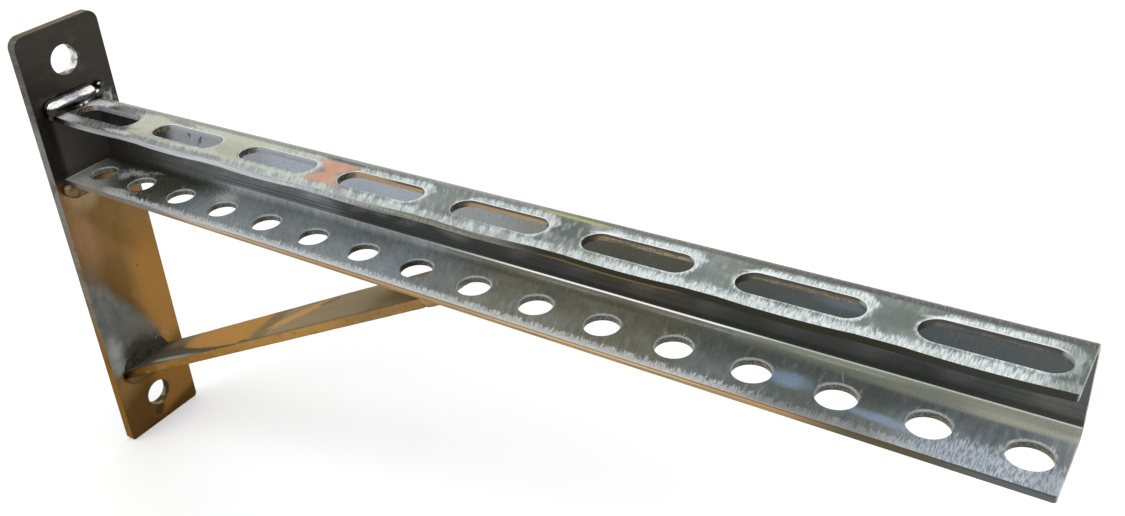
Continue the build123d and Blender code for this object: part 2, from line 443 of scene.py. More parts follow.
@dataclass(frozen=True)
class SheetFinish(Finish):
    """Zinc on the folded arm: feathered streaks beside its edges and punched rows, whose white is painted
    highlight, and painted shade inside the channel.
    """

    flanges: Flanges = Flanges()

    def paint(self, graph: Graph) -> Painted:
        """Paints each face of the channel.

        Args:
            graph: the material's tree.

        Returns:
            The painted surface.
        """
        x, y, z = graph.x, graph.y, graph.z
        colour, wear, height = self.plain(graph)
        lean = x.fade(400, 60) * 0.7 + 0.05
        flow = graph.wire("ShaderNodeCombineXYZ", None, {0: x + y * lean, 1: y, 2: z})
        strokes = graph.grain((0.42, 3, 3), detail=3, rough=0.6, place=flow)
        tufts = graph.grain((1.7, 6.5, 6.5), detail=2, shift=(5, 0, 0), place=flow)
        clouds = graph.grain((26, 13, 13), detail=3, shift=(7, 0, 0))
        rows = self.flanges
        hole = ((x - rows.hole_start).repeat(rows.hole_pitch / 2) ** 2 + (y - rows.hole_y) ** 2) ** 0.5
        hole = hole - rows.hole_radius
        faces_up = graph.nz.fade(0.55, 0.85)
        on_top = faces_up * z.fade(60, 66)
        on_floor = graph.nz.fade(0.24, 0.36) * z.fade(46, 43)
        inside = y.fade(11.9, 11) * z.between(39.5, 65.5, 0.5) * graph.nz.fade(0.9, 0.7)
        walls = self.punched_walls(graph)
        shine = strokes.fade(0.4, 0.6)
        level = on_top.high(on_floor)
        wear = wear * (1 - level) + level * (0.35 + 0.5 * (1 - shine))
        height = height * 0.6 + strokes * 0.4
        end = graph.nx.fade(0.6, 0.9) * x.fade(399.8, 400.6)
        colour = graph.layers(
            colour,
            (inside, self.paint_web(graph, clouds)),
            (on_floor, self.paint_floor(graph, strokes, tufts, clouds, hole)),
            (on_top, self.paint_top(graph, strokes, tufts, clouds)),
            (self.front_faces(graph), self.paint_edges(graph)),
            (walls, self.paint_walls(graph)),
            (end, graph.lay((0.1, 0.1, 0.092), tufts.fade(0.5, 0.62), Tone.ASH)),
        )
        low_shine = (0.45 + 0.35 * x.fade(75, 30)).high(0.85 * y.fade(6, 7.2) * x.fade(225, 250))
        matt = (0.88 * on_floor.high(inside)).high(on_top * low_shine).high(end * 0.7)
        mirror = self.bend_highlight(graph)
        metallic = ((1 - matt) * (1 - 0.75 * walls)).high(mirror)
        wear = wear * (1 - mirror)
        return colour, wear, height, metallic

    def bend_highlight(self, graph: Graph) -> Wire:
        """Masks the painted highlight along the lower inner bend, widest in the middle of the arm.

        Args:
            graph: the material's tree.

        Returns:
            The mask.
        """
        x, z = graph.x, graph.z
        spread = 0.38 - 0.14 * x.fade(295, 330)
        line = (abs(z - 40.95) - spread).fade(0.12, -0.12) * graph.y.fade(9.4, 9.8) * z.fade(46, 44)
        length = (0.15 * x.fade(60, 100)).high(x.fade(165, 240))
        return line * length * (1 - 0.45 * x.fade(298, 325))

    def front_faces(self, graph: Graph) -> Wire:
        """Masks the cut front edges of both flanges."""
        return graph.ny.fade(-0.45, -0.8) * graph.y.fade(-13.2, -13.5)

    def punched_walls(self, graph: Graph) -> Wire:
        """Masks the walls of the slots and holes.

        Args:
            graph: the material's tree.

        Returns:
            The mask.
        """
        level = abs(graph.nz).fade(0.75, 0.4)
        away = graph.y.fade(-13, -12.6) * graph.y.fade(7.2, 6.6)
        in_sheet = graph.z.fade(65.7, 66.1).high(graph.z.fade(39.3, 38.9))
        return level * away * in_sheet

    def paint_walls(self, graph: Graph) -> Wire:
        """Paints the punched walls: speckled in the round holes, lilac to tan in the slots, where the tan is
        painted reflection.

        Args:
            graph: the material's tree.

        Returns:
            The colour.
        """
        x, z, nx = graph.x, graph.z, graph.nx
        specks = graph.grain((0.5, 0.5, 0.5), detail=2)
        seams = graph.grain((7, 7, 0.4), detail=2)
        left = graph.lay(Tone.UMBER, specks.fade(0.5, 0.58) * x.fade(330, 60) * 0.6, Tone.TAN)
        # Slot walls: lilac, turning tan further along as painted reflection of warm surroundings, with
        # lighter tops as painted highlight
        slot = graph.layers(
            Tone.LILAC,
            (x.fade(152, 158), Tone.TAN),
            (x.fade(262, 270), (0.34, 0.255, 0.145)),
            (x.fade(300, 310), (0.215, 0.17, 0.105)),
            (x.fade(345, 358), (0.12, 0.115, 0.098)),
            (specks.fade(0.54, 0.4) * (0.15 + 0.4 * x.fade(250, 270)), Tone.UMBER),
            (seams.fade(0.48, 0.38) * x.fade(250, 270) * 0.7, Tone.UMBER),
            (z.fade(67.3, 67.7) * x.fade(175, 185) * 0.85, Tone.UMBER),
            (z.fade(67.1, 67.9) * x.fade(160, 150) * 0.6, Tone.SILVER),
            (nx.fade(0.35, 0.75), left),
            (nx.fade(-0.25, -0.6), graph.lay(Tone.SLATE, z.fade(66.6, 67.9), Tone.SILVER)),
        )
        return graph.layers(
            (0.052, 0.052, 0.04),
            (specks.fade(0.54, 0.62) * 0.6, Tone.ASH),
            # Round holes: gold low on the walls as painted reflection, and a lighter top rim as painted
            # highlight
            (z.fade(37.9, 37) * nx.fade(0.3, -0.5) * 0.7, (0.23, 0.15, 0.07)),
            (z.fade(38.35, 38.6) * 0.75, Tone.SILVER),
            (z.fade(60, 64), slot),
        )

    def paint_edges(self, graph: Graph) -> Wire:
        """Paints the front edges: lavender to nearly black above; below, orange brown as painted reflection
        of warm surroundings, lighter along its upper part as painted highlight.

        Args:
            graph: the material's tree.

        Returns:
            The colour.
        """
        x, z = graph.x, graph.z
        lines = graph.grain((22, 6, 0.45), detail=3)
        ticks = graph.grain((0.45, 6, 7), detail=1.5, turn=(0, 0.5, 0))
        marks = x.between(142, 235, 18) * ticks.fade(0.52, 0.44) * z.between(66.4, 68.1, 0.4)
        upper = graph.layers(
            (0.1, 0.105, 0.1),
            (x.fade(8, 30), (0.235, 0.24, 0.245)),
            (x.fade(32, 90), (0.5, 0.525, 0.55)),
            (x.fade(140, 205), (0.235, 0.235, 0.205)),
            (lines.fade(0.52, 0.66) * 0.3, Tone.SILVER),
            (lines.fade(0.48, 0.36) * 0.4, Tone.UMBER),
            (x.fade(225, 255), (0.03, 0.029, 0.02)),
            (x.fade(350, 385) * 0.7, (0.045, 0.045, 0.04)),
            # orange brown strip low on the upper edge, painted reflection
            (x.between(252, 298, 6) * z.fade(66.8, 66.5) * 0.6, (0.23, 0.14, 0.05)),
            (marks * 0.4, (0.07, 0.068, 0.06)),
        )
        # Painted highlight on the upper part of the lower edge
        light = z.fade(37.5, 37.9) * x.between(75, 335, 20)
        amount = 0.35 + (0.45 * x.fade(160, 100)).high(0.5 * x.between(232, 305, 12))
        tint = graph.lay((0.5, 0.45, 0.4), x.fade(110, 150), (0.6, 0.5, 0.35))
        return graph.layers(
            (0.155, 0.142, 0.125),
            # orange brown, painted reflection of warm surroundings
            (x.fade(68, 92), (0.37, 0.235, 0.105)),
            (x.fade(325, 352), (0.1, 0.09, 0.06)),
            (lines.fade(0.48, 0.36) * 0.45, Tone.BROWN),
            (x.fade(365, 390), Tone.SLATE),
            (light * amount, tint),
            (z.between(38.3, 38.7, 0.15) * x.fade(70, 120) * 0.8, (0.08, 0.066, 0.045)),
            (z.fade(50, 60), upper),
        )

    def paint_web(self, graph: Graph, clouds: Wire) -> Wire:
        """Paints the channel's inner back: painted shade low down under the upper flange, and lighter behind
        the slots.

        Args:
            graph: the material's tree.
            clouds: slow changes.

        Returns:
            The colour.
        """
        x, z = graph.x, graph.z
        scratch = graph.grain((0.8, 0.8, 6), detail=3, turn=(0, 0.35, 0))
        lines = graph.grain((80, 1, 0.9), detail=2)
        # Lighter bluish grey spots low on the web
        pale_spots = graph.patch(x, z, (133, 46), (9, 2.6), turn=-0.25, soft=0.6)
        pale_spots = pale_spots.high(graph.patch(x, z, (163, 48), (5, 2), turn=-0.25, soft=0.6) * 0.5)
        pale_spots = pale_spots.high(graph.patch(x, z, (196, 48), (7, 2.2), turn=-0.25, soft=0.6) * 0.45)
        pair = z.between(42.3, 42.7, 0.25).high(z.between(43.9, 44.3, 0.25)) * x.between(70, 215, 20)
        low = graph.layers(
            (0.03, 0.029, 0.023),
            (x.fade(22, 75), (0.124, 0.127, 0.13)),
            (x.fade(134, 152), (0.036, 0.038, 0.036)),
            (pale_spots * 0.8, (0.17, 0.18, 0.195)),
            (x.between(255, 292, 14) * 0.6, (0.062, 0.056, 0.036)),
            (x.fade(360, 395) * 0.8, (0.072, 0.073, 0.07)),
            # bluish painted reflection just under the upper flange's edge
            (graph.patch(x, z, (357, 49), (15, 1.2), soft=0.7) * 0.8, (0.085, 0.12, 0.18)),
            (lines.fade(0.52, 0.4) * 0.3, Tone.BLACK),
            (z.fade(43.8, 42.6) * x.fade(210, 240) * 0.7, Tone.BLACK),
            (pair * 0.8, Tone.BLACK),
        )
        dark = graph.patch(x, z, (62, 61), (2.4, 0.8), turn=-0.9, rough=scratch * 3 - 1.5)
        dark = dark.high(graph.patch(x, z, (69.5, 59), (3, 0.7), turn=0.9, rough=scratch * 3 - 1.5))
        high = graph.layers(
            Tone.BLACK,
            (x.fade(46, 54), (0.265, 0.28, 0.305)),
            (x.fade(95, 115), (0.34, 0.37, 0.42)),
            (x.fade(192, 210), (0.285, 0.3, 0.31)),
            (x.fade(212, 236), (0.205, 0.214, 0.198)),
            (x.fade(240, 252), (0.054, 0.057, 0.042)),
            (x.fade(295, 330), (0.058, 0.067, 0.066)),
            # bluish painted reflection
            (graph.patch(x, z, (338, 60), (7, 2), soft=0.7) * 0.4, Tone.BLUE),
            (dark * 0.85, Tone.UMBER),
            (scratch.fade(0.6, 0.7) * 0.35, Tone.SLATE),
        )
        # Colours brightened to offset the shade inside the channel
        colour = graph.shade(graph.lay(low, (z + clouds * 2).fade(49, 51.5), high), 1.72)
        return graph.lay(colour, graph.patch(x, z, (226.8, 46), (0.55, 0.45)), Tone.BLACK)

    def paint_floor(self, graph: Graph, strokes: Wire, tufts: Wire, clouds: Wire, hole: Wire) -> Wire:
        """Paints the lower flange's upper face, seen through the open front.

        Args:
            graph: the material's tree.
            strokes: fine streaks across the arm.
            tufts: tufts in which the streaks gather.
            clouds: slow changes.
            hole: distance outside the nearest round hole, in millimetres.

        Returns:
            The colour.
        """
        x, y = graph.x, graph.y
        comb, fluff = strokes - 0.5, tufts - 0.5
        from_edge, above_row = y - self.flanges.low_front, y - self.flanges.hole_y
        fine = strokes.fade(0.42, 0.58)
        rear = y.fade(5.5, 8.5)
        blue = graph.patch(x, y, (328, -2.8), (5.5, 3.5), rough=fluff, soft=0.5)
        blue = blue.high(graph.patch(x, y, (354.5, -7.6), (8.5, 1.8), turn=-0.1, rough=fluff, soft=0.5))
        glow = graph.patch(x, y, (374, 7.2), (27, 1.7), soft=0.7) * (0.5 + 0.5 * x.fade(365, 385))
        # Painted shade in the corner against the plate and the web
        corner = x.fade(85, 40) * y.fade(5.5, 9)
        colour = graph.layers(
            (0.214, 0.218, 0.196),
            ((x + y * 1.2).fade(0, 27), (0.034, 0.034, 0.026)),
            ((x + clouds * 16 - y * 0.5).fade(66, 100), Tone.MIST),
            (x.fade(185, 235), (0.128, 0.127, 0.096)),
            (graph.patch(x, y, (228, 3), (9, 3.5), rough=fluff, soft=0.7), (0.165, 0.16, 0.12)),
            (graph.patch(x, y, (262, 6.5), (10, 3), rough=fluff, soft=0.7), (0.16, 0.148, 0.1)),
            (x.fade(285, 305) * 0.9, (0.096, 0.112, 0.112)),
            (x.fade(352, 378), (0.13, 0.146, 0.158)),
            (clouds.fade(0.5, 0.64) * x.fade(60, 110) * 0.22, Tone.STEEL),
            (clouds.fade(0.48, 0.34) * 0.35, Tone.OLIVE),
            (tufts.fade(0.54, 0.68) * x.fade(30, 90) * 0.18, Tone.ASH),
            (tufts.fade(0.46, 0.34) * 0.25, Tone.UMBER),
            (rear * x.fade(302, 312) * 0.9, (0.16, 0.166, 0.132)),
            (rear * x.between(195, 300, 10) * 0.7, (0.088, 0.088, 0.062)),
            (blue * 0.85, (0.2, 0.27, 0.355)),
            (graph.patch(x, y, (350, -0.5), (6, 6), soft=0.5) * 0.6, (0.07, 0.078, 0.074)),
            (glow, (0.4, 0.39, 0.32)),
            (corner * 0.85, (0.016, 0.016, 0.012)),
        )
        colour = graph.shade(colour, 2.12 - 0.25 * y.fade(3, 9) * x.fade(300, 200))
        # White feathered tufts along the front edge and at the far end: the zinc's own streaks, their white
        # painted highlight
        reach = 3 + comb * 7 + fluff * 4.5
        margin = (reach + comb * 2.5 - from_edge).fade(-0.5, 0.9)
        margin = margin * (0.95 - 0.6 * x.between(318, 362, 10)) * x.fade(27, 36)
        core = (1.7 + comb * 5 - from_edge).fade(-0.4, 0.5) * (0.62 + 0.38 * fine)
        middle = 1 - 0.65 * x.between(318, 362, 10)
        margin = (margin * (0.36 + 0.62 * fine)).high(core * middle * x.fade(70, 92))
        margin = margin * (1 - x.fade(362, 376))
        far = (reach * 2 + 5.5 - from_edge) * 0.3
        far = far.fade(-0.5, 1.2) * x.fade(352, 374) * (0.22 + 0.78 * strokes.fade(0.43, 0.57))
        far = far * (1 - 0.35 * x.fade(390, 398))
        ragged = comb * 5 + fluff * 1.5
        splash = graph.patch(x, y, (31.5, 2.6), (7, 2.2), turn=0.12, rough=ragged, soft=0.5)
        splash = splash.high(graph.patch(x, y, (28, -0.7), (3, 3.2), rough=ragged, soft=0.5))
        splash = splash.high(graph.patch(x, y, (40, 6.2), (3.5, 1), turn=0.2, rough=ragged) * 0.7)
        splash = splash.high(graph.patch(x, y, (86.5, 4), (5, 4.4), rough=ragged, soft=0.6))
        splash = splash.high(graph.patch(x, y, (37, -12.5), (8, 1.6), turn=0.15, rough=ragged) * 0.8)
        # Painted highlight along the end at the plate and on the round holes' rims
        end = (x + strokes * 1.5).fade(7.2, 6.4) * y.between(-15, 1, 2)
        rim = hole.fade(0.75, 0.35) * above_row.fade(0, 4) * (0.35 + 0.65 * fine)
        above = hole.fade(3.2, 0.6) * above_row.fade(2.5, 5)
        above = above * strokes.fade(0.52, 0.6) * tufts.fade(0.5, 0.6)
        nick = graph.patch(x, y, (340.6, 5), (2.7, 0.16), turn=-1.2)
        return graph.layers(
            colour,
            (margin, Tone.WHITE),
            (far, (0.76, 0.84, 0.95)),
            (splash * (0.35 + 0.6 * fine), Tone.WHITE),
            (end * 0.8, Tone.WHITE),
            (rim.high(above * 0.8) * 0.9, Tone.WHITE),
            # painted highlight along the lower inner bend
            (self.bend_highlight(graph), (0.96, 0.955, 0.93)),
            (nick * 0.8, Tone.FROST),
        )

    def paint_top(self, graph: Graph, strokes: Wire, tufts: Wire, clouds: Wire) -> Wire:
        """Paints the upper flange from above, with painted highlight on its streaks, slot rims and front
        corner, and painted shade on its rear bend.

        Args:
            graph: the material's tree.
            strokes: fine streaks across the arm.
            tufts: tufts in which the streaks gather.
            clouds: slow changes.

        Returns:
            The colour.
        """
        x, y = graph.x, graph.y
        rows = self.flanges
        comb, fluff = strokes - 0.5, tufts - 0.5
        from_edge, above_row = y - rows.top_front, y - rows.slot_y
        run = (x - rows.slot_start).repeat(rows.slot_pitch / 2)
        slot = ((abs(run) - rows.slot_straight / 2).high(0) ** 2 + above_row**2) ** 0.5 - rows.slot_radius
        fine = strokes.fade(0.38, 0.62)
        # Pale feathered streaks along the front edge and beside the slots: the zinc's own streaks, their
        # white painted highlight
        pale = graph.layers(
            Tone.SILVER,
            (tufts.fade(0.4, 0.58).high(x.fade(255, 285)), Tone.FROST),
            (x.fade(262, 285) * fine * 0.8, (0.86, 0.94, 0.935)),
        )
        dim = graph.patch(x, y, (254, 0.5), (8, 6), rough=fluff * 3, soft=0.6)
        ragged = comb * 6.5 + fluff * 3.6
        margin = (4 + ragged - from_edge).fade(-1.3, 1.8)
        rear = above_row.fade(1, 5)
        beside = 0.8 + 0.8 * run.fade(4, 14) + 2.4 * rear * run.fade(-17, -12)
        beside = (beside + ragged * 0.45 - slot).fade(-0.6, 1.3)
        margin = margin * (1 - 0.75 * x.between(53, 112, 8))
        core = (2.4 + comb * 4 - from_edge).fade(-0.6, 0.9) * x.fade(205, 250)
        light = (margin * 0.9).high(core).high(beside) * y.fade(7.8, 6.8) * (1 - 0.6 * x.fade(388, 397))
        light = light * (1 - 0.2 * x.fade(205, 120)) * (0.52 + 0.46 * fine)
        # Painted highlight on the slots' rims, and a glare behind their left ends
        rim = slot.fade(0.6, 0.25) * (0.05 + 0.75 * rear.high(run.fade(14, 17.5) * 0.8))
        rim = rim * x.fade(397.5, 394)
        glare = graph.patch(run, y, (-12.6, 3.2), (4.6, 0.8), turn=0.16, soft=0.7) * x.fade(215, 240)
        ends = x + comb * 8 + y * 0.3
        cream = ends.between(47, 147, 1.5) * (y + fluff * 4).between(-11.3, 6.4, 1)
        cream_tint = graph.layers(
            Tone.CREAM,
            (clouds.fade(0.55, 0.42) * 0.6, (0.375, 0.365, 0.265)),
            (x.fade(105, 140) * tufts.fade(0.45, 0.55) * 0.6, (0.56, 0.61, 0.59)),
        )
        smear = graph.patch(x, y, (68, 5.2), (9, 1.2), turn=-0.05, rough=comb * 2.5)
        smear = smear.high(graph.patch(x, y, (51, -7.5), (5, 0.35), turn=0.5, rough=comb * 2))
        waist = abs(x - 155.5 + y * 0.25) - 1.1 * abs(y + 2.5) + comb * 5.0
        salmon = waist.fade(3.4, 1.4) * (y + comb * 3).between(-10, 5.2, 0.8)
        salmon_tint = graph.layers(
            (0.6, 0.3, 0.18),
            (tufts.fade(0.48, 0.6) * 0.35, (0.66, 0.43, 0.32)),
            (clouds.fade(0.5, 0.4) * 0.5, (0.4, 0.29, 0.22)),
        )
        edge = graph.patch(x, y, (157, 6.6), (9, 0.8), rough=comb * 2.5)
        start = graph.lay((0.095, 0.097, 0.09), tufts.fade(0.46, 0.6), (0.205, 0.208, 0.195))
        foam = graph.patch(x, y, (47, -12.2), (7, 1.2), turn=0.05, rough=comb * 3)
        flow = graph.patch(x, y, (14, 4.2), (10, 3.4), turn=0.25, rough=fluff * 1.5, soft=0.4)
        flow = flow.high(graph.patch(x, y, (30, 8.6), (16, 0.9), turn=0.05, soft=0.6) * 0.3)
        shadow = graph.patch(x, y, (34, 5.6), (12, 2), turn=0.06, rough=fluff * 2.5, soft=0.5)
        # Painted highlight on the front corner beside the plate
        corner = graph.patch(x, y, (11, -11.6), (12, 3), turn=-0.05, rough=comb)
        # Painted shade on the rear bend, darker further along
        bend = graph.layers(
            (0.27, 0.265, 0.22),
            (x.fade(225, 262), (0.105, 0.105, 0.07)),
            (x.fade(290, 320), (0.062, 0.06, 0.048)),
            (strokes.fade(0.52, 0.62) * 0.2, Tone.SILVER),
            (clouds.fade(0.48, 0.36) * 0.3, Tone.SLATE),
        )
        turned = (y + comb * 3 + x.fade(235, 310) * 1.3).fade(7.4, 8.4)
        lime = x.between(241, 264, 4) * (y + x * 0.03 - 7.6 + comb * 2).between(6.2, 7.6, 0.4)
        return graph.layers(
            (0.2, 0.228, 0.212),
            (clouds.fade(0.48, 0.62) * 0.5, (0.27, 0.295, 0.275)),
            (clouds.fade(0.5, 0.36) * 0.7, (0.12, 0.147, 0.132)),
            (dim.high(x.fade(393, 397) * 0.8), (0.095, 0.118, 0.1)),
            (tufts.fade(0.53, 0.66) * 0.35, Tone.SILVER),
            (tufts.fade(0.47, 0.36) * 0.35, Tone.SLATE),
            (light, pale),
            ((rim * x.fade(45, 70)).high(glare) * 0.9, Tone.WHITE),
            (cream * (slot + strokes).fade(0.9, 1.9) * 0.88, cream_tint),
            (smear * 0.55, Tone.UMBER),
            (salmon * slot.fade(0.8, 1.4) * 0.93, salmon_tint),
            (edge * 0.75, Tone.UMBER),
            ((ends + clouds * 6).fade(51, 46) * 0.9, start),
            (shadow * 0.7, (0.085, 0.086, 0.08)),
            ((flow * 0.95).high(foam * 0.55), Tone.WHITE),
            (corner, graph.lay(Tone.WHITE, x.fade(9, 21), Tone.SILVER)),
            (turned, bend),
            (lime * 0.9, Tone.LIME),
        )


@dataclass(frozen=True)
class PlateFinish(Finish):
    """Zinc on the back plate: nearly black above and golden below, both painted reflection, with a cool grey
    patch of painted reflection at the brace.
    """

    hole_z: float = 89.0
    hole_radius: float = 6.5

    def paint(self, graph: Graph) -> Painted:
        """Paints the front face, the rim and the back.

        Args:
            graph: the material's tree.

        Returns:
            The painted surface.
        """
        y, z = graph.y, graph.z
        plain, wear, height = self.plain(graph)
        streaks = graph.grain((9, 18, 1.6), detail=3, turn=(0.08, 0, 0))
        clouds = graph.grain((30, 15, 18), detail=3)
        mottle = graph.grain((5, 5, 5), detail=3, shift=(0, 2, 0))
        lower, patch = self.paint_lower(graph, streaks, clouds, mottle)
        upper = self.paint_upper(graph, streaks, clouds, mottle)
        front = graph.lay(lower, (z + clouds * 4).fade(37.5, 42.5), upper)
        rim = graph.lay(self.paint_rim(graph, streaks, mottle), graph.ny.fade(0.2, 0.6), plain)
        bore = ((abs(z) - self.hole_z) ** 2 + y**2) ** 0.5 - self.hole_radius
        # Bolt hole walls: the upper with a painted highlight on its side towards +Y, the lower dark brown
        low_wall = graph.lay((0.058, 0.044, 0.026), mottle.fade(0.52, 0.6) * 0.8, (0.27, 0.225, 0.16))
        wall = graph.layers(
            (0.2, 0.195, 0.15),
            (mottle.fade(0.46, 0.56) * y.fade(-1, 3.5), Tone.WHITE),
            (z.fade(10, -10), low_wall),
        )
        colour = graph.layers(
            rim,
            (graph.nx.fade(0.45, 0.85), front),
            (bore.fade(0.5, 0.2) * graph.nx.fade(0.8, 0.5), wall),
            (graph.nx.fade(-0.5, -0.8), plain),
        )
        shaded = patch.high(z.between(39, 67, 2) * y.between(-14, 11, 2))
        metallic = 1 - (0.8 * shaded * graph.nx.fade(0.5, 0.8)).high(0.75 * abs(graph.ny).fade(0.6, 0.8))
        return colour, wear * 0.7 + 0.2, height * 0.7 + streaks * 0.3, metallic

    def paint_upper(self, graph: Graph, streaks: Wire, clouds: Wire, mottle: Wire) -> Wire:
        """Paints the nearly black upper part, a painted dark reflection.

        Args:
            graph: the material's tree.
            streaks: fine lines across the plate.
            clouds: slow changes.
            mottle: small changes.

        Returns:
            The colour.
        """
        y, z = graph.y, graph.z
        ring = (((z - self.hole_z) ** 2 + y**2) ** 0.5).fade(13, 7) * y.fade(2, 8)
        channel = z.between(39, 67, 1.5) * y.between(-14, 11, 1.5)
        smear = graph.patch(y, z, (16.6, 65), (3.4, 3.4), rough=(mottle - 0.5) * 4, soft=0.5)
        tint = graph.lay((0.12, 0.118, 0.108), mottle.fade(0.42, 0.58), (0.4, 0.4, 0.385))
        return graph.layers(
            (0.044, 0.039, 0.033),
            (streaks.fade(0.48, 0.66) * 0.12, (0.085, 0.086, 0.085)),
            (clouds.fade(0.5, 0.36) * 0.4, (0.032, 0.029, 0.024)),
            (ring * mottle.fade(0.42, 0.55) * 0.5, (0.092, 0.092, 0.085)),
            (channel, (0.085, 0.08, 0.068)),
            (smear * 0.85, tint),
        )

    def paint_lower(self, graph: Graph, streaks: Wire, clouds: Wire, mottle: Wire) -> tuple[Wire, Wire]:
        """Paints the golden lower part and the cool patch at the brace, both painted reflection.

        Args:
            graph: the material's tree.
            streaks: fine lines across the plate.
            clouds: slow changes.
            mottle: small changes.

        Returns:
            The colour, and the cool patch's mask.
        """
        y, z = graph.y, graph.z
        fleck, drift = mottle - 0.5, clouds - 0.5
        # Golden tones of the lower part are painted reflection of warm surroundings
        warm = (y + clouds * 10).fade(2, 18) * z.fade(12, -20)
        haze = graph.patch(y, z, (-11, 33), (9, 9), rough=drift * 2, soft=0.7)
        wobble = drift * 6 + fleck * 3.0
        side = (y - z.fade(-2, -66) * 27 + 18.5 + wobble).fade(4, -2)
        patch = side * (z + wobble).fade(0, -22) * (z - y * 0.1).fade(-67, -62.5)
        # painted highlight inside the cool patch
        light = graph.patch(y, z, (-16, -57.5), (3.6, 9.5), turn=0.12, rough=fleck * 1.5, soft=0.9)
        green = graph.patch(y, z, (-1, -48.5), (10, 5), turn=-0.5, rough=fleck * 1.5, soft=0.6)
        # Darker patch on the plate just above the brace's foot weld
        dark_above_foot = graph.patch(y, z, (-3, -60), (12, 5.2), turn=-0.12, rough=fleck * 1.4, soft=0.7)
        # Cool grey patch: painted reflection
        cool = graph.layers(
            (0.17, 0.176, 0.168),
            (streaks.fade(0.42, 0.64) * 0.25, (0.23, 0.236, 0.226)),
            (mottle.fade(0.5, 0.62) * 0.5, (0.235, 0.246, 0.25)),
            (mottle.fade(0.46, 0.36) * 0.4, (0.11, 0.112, 0.1)),
            (light * 0.8, (0.6, 0.605, 0.57)),
            (green * 0.75, (0.215, 0.22, 0.168)),
            (dark_above_foot * 0.92, (0.08, 0.079, 0.057)),
        )
        lower = graph.layers(
            (0.165, 0.095, 0.033),
            (clouds.fade(0.46, 0.62) * 0.5, (0.225, 0.13, 0.05)),
            (warm, (0.3, 0.152, 0.042)),
            ((z + clouds * 12).fade(28, 44) * 0.6, Tone.BROWN),
            (haze * 0.8, (0.34, 0.245, 0.14)),
            (graph.patch(y, z, (-16, 4), (6, 18), soft=0.7) * 0.7, (0.27, 0.165, 0.085)),
            ((z - y * 0.45 + clouds * 10).fade(-60, -76) * 0.9, (0.085, 0.043, 0.012)),
            ((y - z * 0.1 + clouds * 6).fade(6, 16) * z.fade(-66, -74), (0.225, 0.108, 0.027)),
            ((z - y * 0.25 + clouds * 3).fade(-97, -103) * 0.75, (0.04, 0.021, 0.007)),
            (patch, cool),
        )
        marks = graph.patch(y, z, (7.3, -18), (0.5, 0.4))
        marks = marks.high(graph.patch(y, z, (0, -28), (0.6, 0.25)) * 0.6)
        drip = graph.patch(y, z, (-1.9, -97.6), (2.7, 3.8), turn=-0.35, rough=fleck * 0.8, soft=0.4)
        return graph.lay(lower, marks.high(drip) * 0.85, (0.042, 0.03, 0.014)), patch

    def paint_rim(self, graph: Graph, streaks: Wire, mottle: Wire) -> Wire:
        """Paints the plate's narrow sides: grey above, orange brown below as painted reflection of warm
        surroundings.

        Args:
            graph: the material's tree.
            streaks: noise in fine level lines.
            mottle: soft noise in spots.

        Returns:
            The colour.
        """
        z = graph.z
        return graph.layers(
            (0.12, 0.112, 0.104),
            (z.fade(72, 60), (0.205, 0.198, 0.19)),
            (z.fade(30, 5), (0.2, 0.16, 0.125)),
            (z.fade(-22, -58), (0.23, 0.118, 0.024)),
            (streaks.fade(0.5, 0.62) * 0.2 * z.fade(-45, -15), Tone.LILAC),
            (mottle.fade(0.46, 0.34) * 0.5, (0.08, 0.062, 0.045)),
        )


